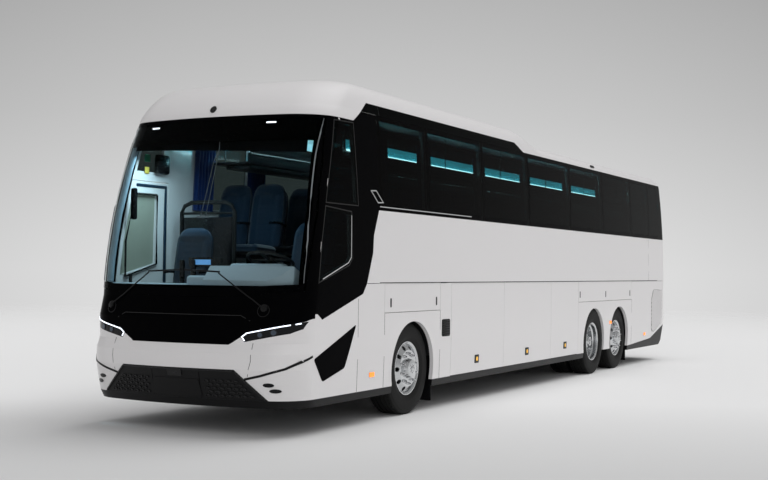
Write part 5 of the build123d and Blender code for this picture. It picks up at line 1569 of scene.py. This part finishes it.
    def pillars(self) -> None:
        """Model the pillar displays, the inside mirror, the door's frame and the blank signs."""
        self.boxes("pillar_displays", GRILLE_PLASTIC, [
            ((s * 1.12 - 0.035, -6.14, z - 0.17), (s * 1.12 + 0.035, -6.09, z + 0.17), 0.02)
            for s, z in ((1, 2.35), (-1, 2.30))])
        bm = bmesh.new()
        bowl = [(-0.012, 0.0005), (-0.012, 0.085), (0.006, 0.095), (0.012, 0.085), (0.012, 0.0005)]
        add_turned(bm, bowl, 28, Matrix.Translation((1.10, -5.62, 2.78)) @ Matrix.Rotation(math.radians(65), 4, "Z"))
        add_tube(bm, [(1.12, -5.62, 2.80), (1.15, -5.58, 2.95), (1.15, -5.56, 3.05)], 0.009, 8)
        self.place(bm, "inside_mirror", CHROME, 40)
        for name, finish, low, high, edge in (
                ("blank_sign_green", SIGN_GREEN, (-1.192, -5.86, 2.78), (-1.186, -5.765, 2.86), 0.002),
                ("blank_sign_yellow", SIGN_YELLOW, (-1.192, -5.855, 2.65), (-1.186, -5.783, 2.72), 0.002),
                ("door_drive_cover", GRILLE_PLASTIC, (-1.185, -5.71, 2.65), (-1.11, -5.50, 2.87), 0.03)):
            self.boxes(name, finish, ((low, high, edge),))
        bm = bmesh.new()
        frame = ((-6.13, 1.52), (-5.60, 1.66), (-5.60, 2.42), (-5.98, 2.42), (-6.13, 1.9), (-6.13, 1.52))
        add_tube(bm, [(DOOR_LINING_X, y, z) for y, z in frame], 0.011, 8)
        self.place(bm, "entry_door_window_frame", GRILLE_PLASTIC, 60, "entry_door")
        self.boxes("entry_door_inner_rail", SEAT_LEATHER, (
            ((-1.224, -5.475, 1.45), (-1.200, -5.440, 2.53), 0.008),
            ((-1.224, -5.97, 2.50), (-1.200, -5.440, 2.535), 0.008)), 60, "entry_door")

    def lining(self) -> None:
        """Model the ceiling lining and the service ducts over the seats."""
        self.boxes("ceiling_lining", RACK_TRIM, (((-0.58, -5.2, 3.262), (0.58, 6.2, 3.278), 0.004),))
        ducts = [(*sorted((s * 0.62, s * 0.95)),) for s in (1, -1)]
        self.boxes("service_ducts", RACK_TRIM, [((a, -4.66, 2.775), (b, 6.15, 2.826), 0.012) for a, b in ducts])


# ------------------------------------------------------------------------------ studio
@dataclass
class Studio:
    """Floor, backdrop, lamps and camera."""

    focal: float = 57.06
    eye: tuple[float, float, float] = (7.30758, -16.44096, 1.604178)
    yaw: float = 0.4815411
    pitch: float = 0.0255476
    roll: float = 0.010278

    def build(self) -> None:
        """Set up the studio."""
        self.camera()
        self.floor()
        self.world()
        self.lamps()
        view = bpy.context.scene.view_settings
        view.view_transform = "Standard"

    def camera(self) -> None:
        """Place the camera."""
        ahead = Vector((-math.sin(self.yaw), math.cos(self.yaw), 0))
        right = Vector((math.cos(self.yaw), math.sin(self.yaw), 0))
        up = Vector((0, 0, 1))
        look = ahead * math.cos(self.pitch) + up * math.sin(self.pitch)
        top = -ahead * math.sin(self.pitch) + up * math.cos(self.pitch)
        side = right * math.cos(self.roll) + top * math.sin(self.roll)
        crown = -right * math.sin(self.roll) + top * math.cos(self.roll)
        data = bpy.data.cameras.new("camera")
        data.lens = self.focal
        data.sensor_width = 36
        data.clip_end = 1000
        camera = bpy.data.objects.new("camera", data)
        camera.matrix_world = Matrix.Translation(self.eye) @ Matrix((side, crown, -look)).transposed().to_4x4()
        bpy.context.scene.collection.objects.link(camera)
        bpy.context.scene.camera = camera

    @staticmethod
    def floor() -> None:
        """Make the floor: pale and matt, a little darker in front with painted shade, fading into the backdrop far
        away.
        """
        bm = bmesh.new()
        bmesh.ops.create_circle(bm, cap_ends=True, segments=96, radius=400)
        floor = bpy.data.objects.new("studio_floor", mesh_of(bm))
        bpy.context.scene.collection.objects.link(floor)
        material = bpy.data.materials.new("studio_floor_with_painted_shade")
        material.use_nodes = True
        tree = material.node_tree
        tree.nodes.clear()
        place = add_node(tree, "ShaderNodeTexCoord").outputs["Object"]
        away = add_node(tree, "ShaderNodeVectorMath", {0: place}, operation="LENGTH")
        fade = add_node(tree, "ShaderNodeMapRange", {0: away.outputs["Value"], 1: 12.0, 2: 42.0},
                        interpolation_type="SMOOTHSTEP")
        # Painted shade: the floor's colour darkens towards the front, where less studio light falls.
        depth = add_node(tree, "ShaderNodeVectorMath", {0: place, 1: (-0.463, 0.886, 0.0)}, operation="DOT_PRODUCT")
        tone = add_node(tree, "ShaderNodeMapRange", {0: depth.outputs["Value"], 1: -9.5, 2: -3.0, 3: 0.55, 4: 0.77})
        grey = add_node(tree, "ShaderNodeCombineColor", {0: tone.outputs[0], 1: tone.outputs[0], 2: tone.outputs[0]})
        matt = add_node(tree, "ShaderNodeBsdfDiffuse", {"Color": grey.outputs[0]})
        gone = add_node(tree, "ShaderNodeBsdfTransparent")
        mix = add_node(tree, "ShaderNodeMixShader", {0: fade.outputs[0], 1: matt.outputs[0], 2: gone.outputs[0]})
        add_node(tree, "ShaderNodeOutputMaterial", {"Surface": mix.outputs[0]})
        floor.data.materials.append(material)

    @staticmethod
    def world() -> None:
        """Make the backdrop, brightest at the horizon behind the coach, and soft white light for the object."""
        world = bpy.data.worlds.new("studio")
        bpy.context.scene.world = world
        world.use_nodes = True
        tree = world.node_tree
        tree.nodes.clear()
        way = add_node(tree, "ShaderNodeTexCoord").outputs["Generated"]
        height = add_node(tree, "ShaderNodeSeparateXYZ", {0: way}).outputs[2]
        ramp = add_node(tree, "ShaderNodeMapRange", {0: height, 1: 0.0, 2: 0.25, 3: 0.0, 4: 1.0})
        stops = add_node(tree, "ShaderNodeValToRGB", {0: ramp.outputs[0]})
        for place, level in ((0.0, 0.775), (1.0, 0.47), (0.1, 0.745), (0.5, 0.60), (0.86, 0.505)):
            if place in (0.0, 1.0):
                stop = stops.color_ramp.elements[int(place)]
            else:
                stop = stops.color_ramp.elements.new(place)
            stop.color = (level, level, level, 1.0)
        middle = add_node(tree, "ShaderNodeVectorMath", {0: way, 1: (-0.4628, 0.8861, 0.0256)}, operation="DOT_PRODUCT")
        pool = add_node(tree, "ShaderNodeMapRange", {0: middle.outputs["Value"], 1: 0.93, 2: 1.0, 3: 0.78, 4: 1.0})
        level = add_node(tree, "ShaderNodeVectorMath", {0: stops.outputs[0], "Scale": pool.outputs[0]},
                         operation="SCALE")
        rays = add_node(tree, "ShaderNodeLightPath").outputs
        direct = add_node(tree, "ShaderNodeMath", {0: rays["Is Camera Ray"], 1: rays["Is Glossy Ray"]}, operation="ADD")
        seen = add_node(tree, "ShaderNodeMath", {0: direct.outputs[0], 1: rays["Is Transmission Ray"]}, operation="ADD",
                        use_clamp=True)
        shown = add_node(tree, "ShaderNodeBackground", {"Color": level.outputs[0], "Strength": 1.0})
        light = add_node(tree, "ShaderNodeBackground", {"Color": linear("#FAFAFB"), "Strength": 0.46})
        mix = add_node(tree, "ShaderNodeMixShader", {0: seen.outputs[0], 1: light.outputs[0], 2: shown.outputs[0]})
        add_node(tree, "ShaderNodeOutputWorld", {"Surface": mix.outputs[0]})

    @staticmethod
    def lamps() -> None:
        """Hang the soft lamps: two far ones over the coach, and two small ones under its ceiling."""
        for name, place, angle, strength in (
                ("overhead_softbox", (3, 6, 10), 50, 1.75), ("side_softbox", (8, -11, 5), 60, 0.75)):
            data = bpy.data.lights.new(name, "SUN")
            data.angle = math.radians(angle)
            data.energy = strength
            Studio.hang(name, data, place, (0, 0, 0))
        for name, place, size, power in (
                ("cockpit_lamp", (-0.5, -6.0, 2.80), (1.0, 0.4), 22), ("cabin_lamp", (0, 0.8, 3.2), (0.8, 10.0), 6)):
            data = bpy.data.lights.new(name, "AREA")
            data.shape = "RECTANGLE"
            data.size, data.size_y = size
            data.energy = power
            data.color = linear("#CFF2FF")[:3]
            Studio.hang(name, data, place, (place[0], place[1], 0))

    @staticmethod
    def hang(name: str, data: bpy.types.Light, place: Sequence[float], aim: Sequence[float]) -> None:
        """Hang a lamp at a place, aimed at a point, unseen in reflections."""
        lamp = bpy.data.objects.new(name, data)
        lamp.location = place
        if Vector(place).xy == Vector(aim).xy:
            lamp.rotation_euler = (0, 0, 0)
        else:
            lamp.rotation_euler = (Vector(aim) - Vector(place)).to_track_quat("-Z", "Y").to_euler()
        lamp.visible_glossy = lamp.visible_camera = lamp.visible_transmission = False
        bpy.context.scene.collection.objects.link(lamp)


def main() -> None:
    """Dress the coach and set the studio."""
    logging.basicConfig(level=logging.INFO, format="%(message)s")
    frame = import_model()
    Studio().build()
    dress_nodes(frame)
    skin = Skin(frame, SKIN_NODES)
    repeats = Repeats()
    for side, sign in SIDES:
        SideTrim(side, sign).build(skin, repeats)
    NoseTrim().build(skin, repeats)
    TailTrim().build(skin, repeats)
    for wheel in wheels():
        wheel.build(repeats)
    Seating().build()
    Curtains().build(skin)
    Cabin().build()
    for tree in list(bpy.data.node_groups):
        bpy.data.node_groups.remove(tree)


if __name__ == "__main__":
    main()
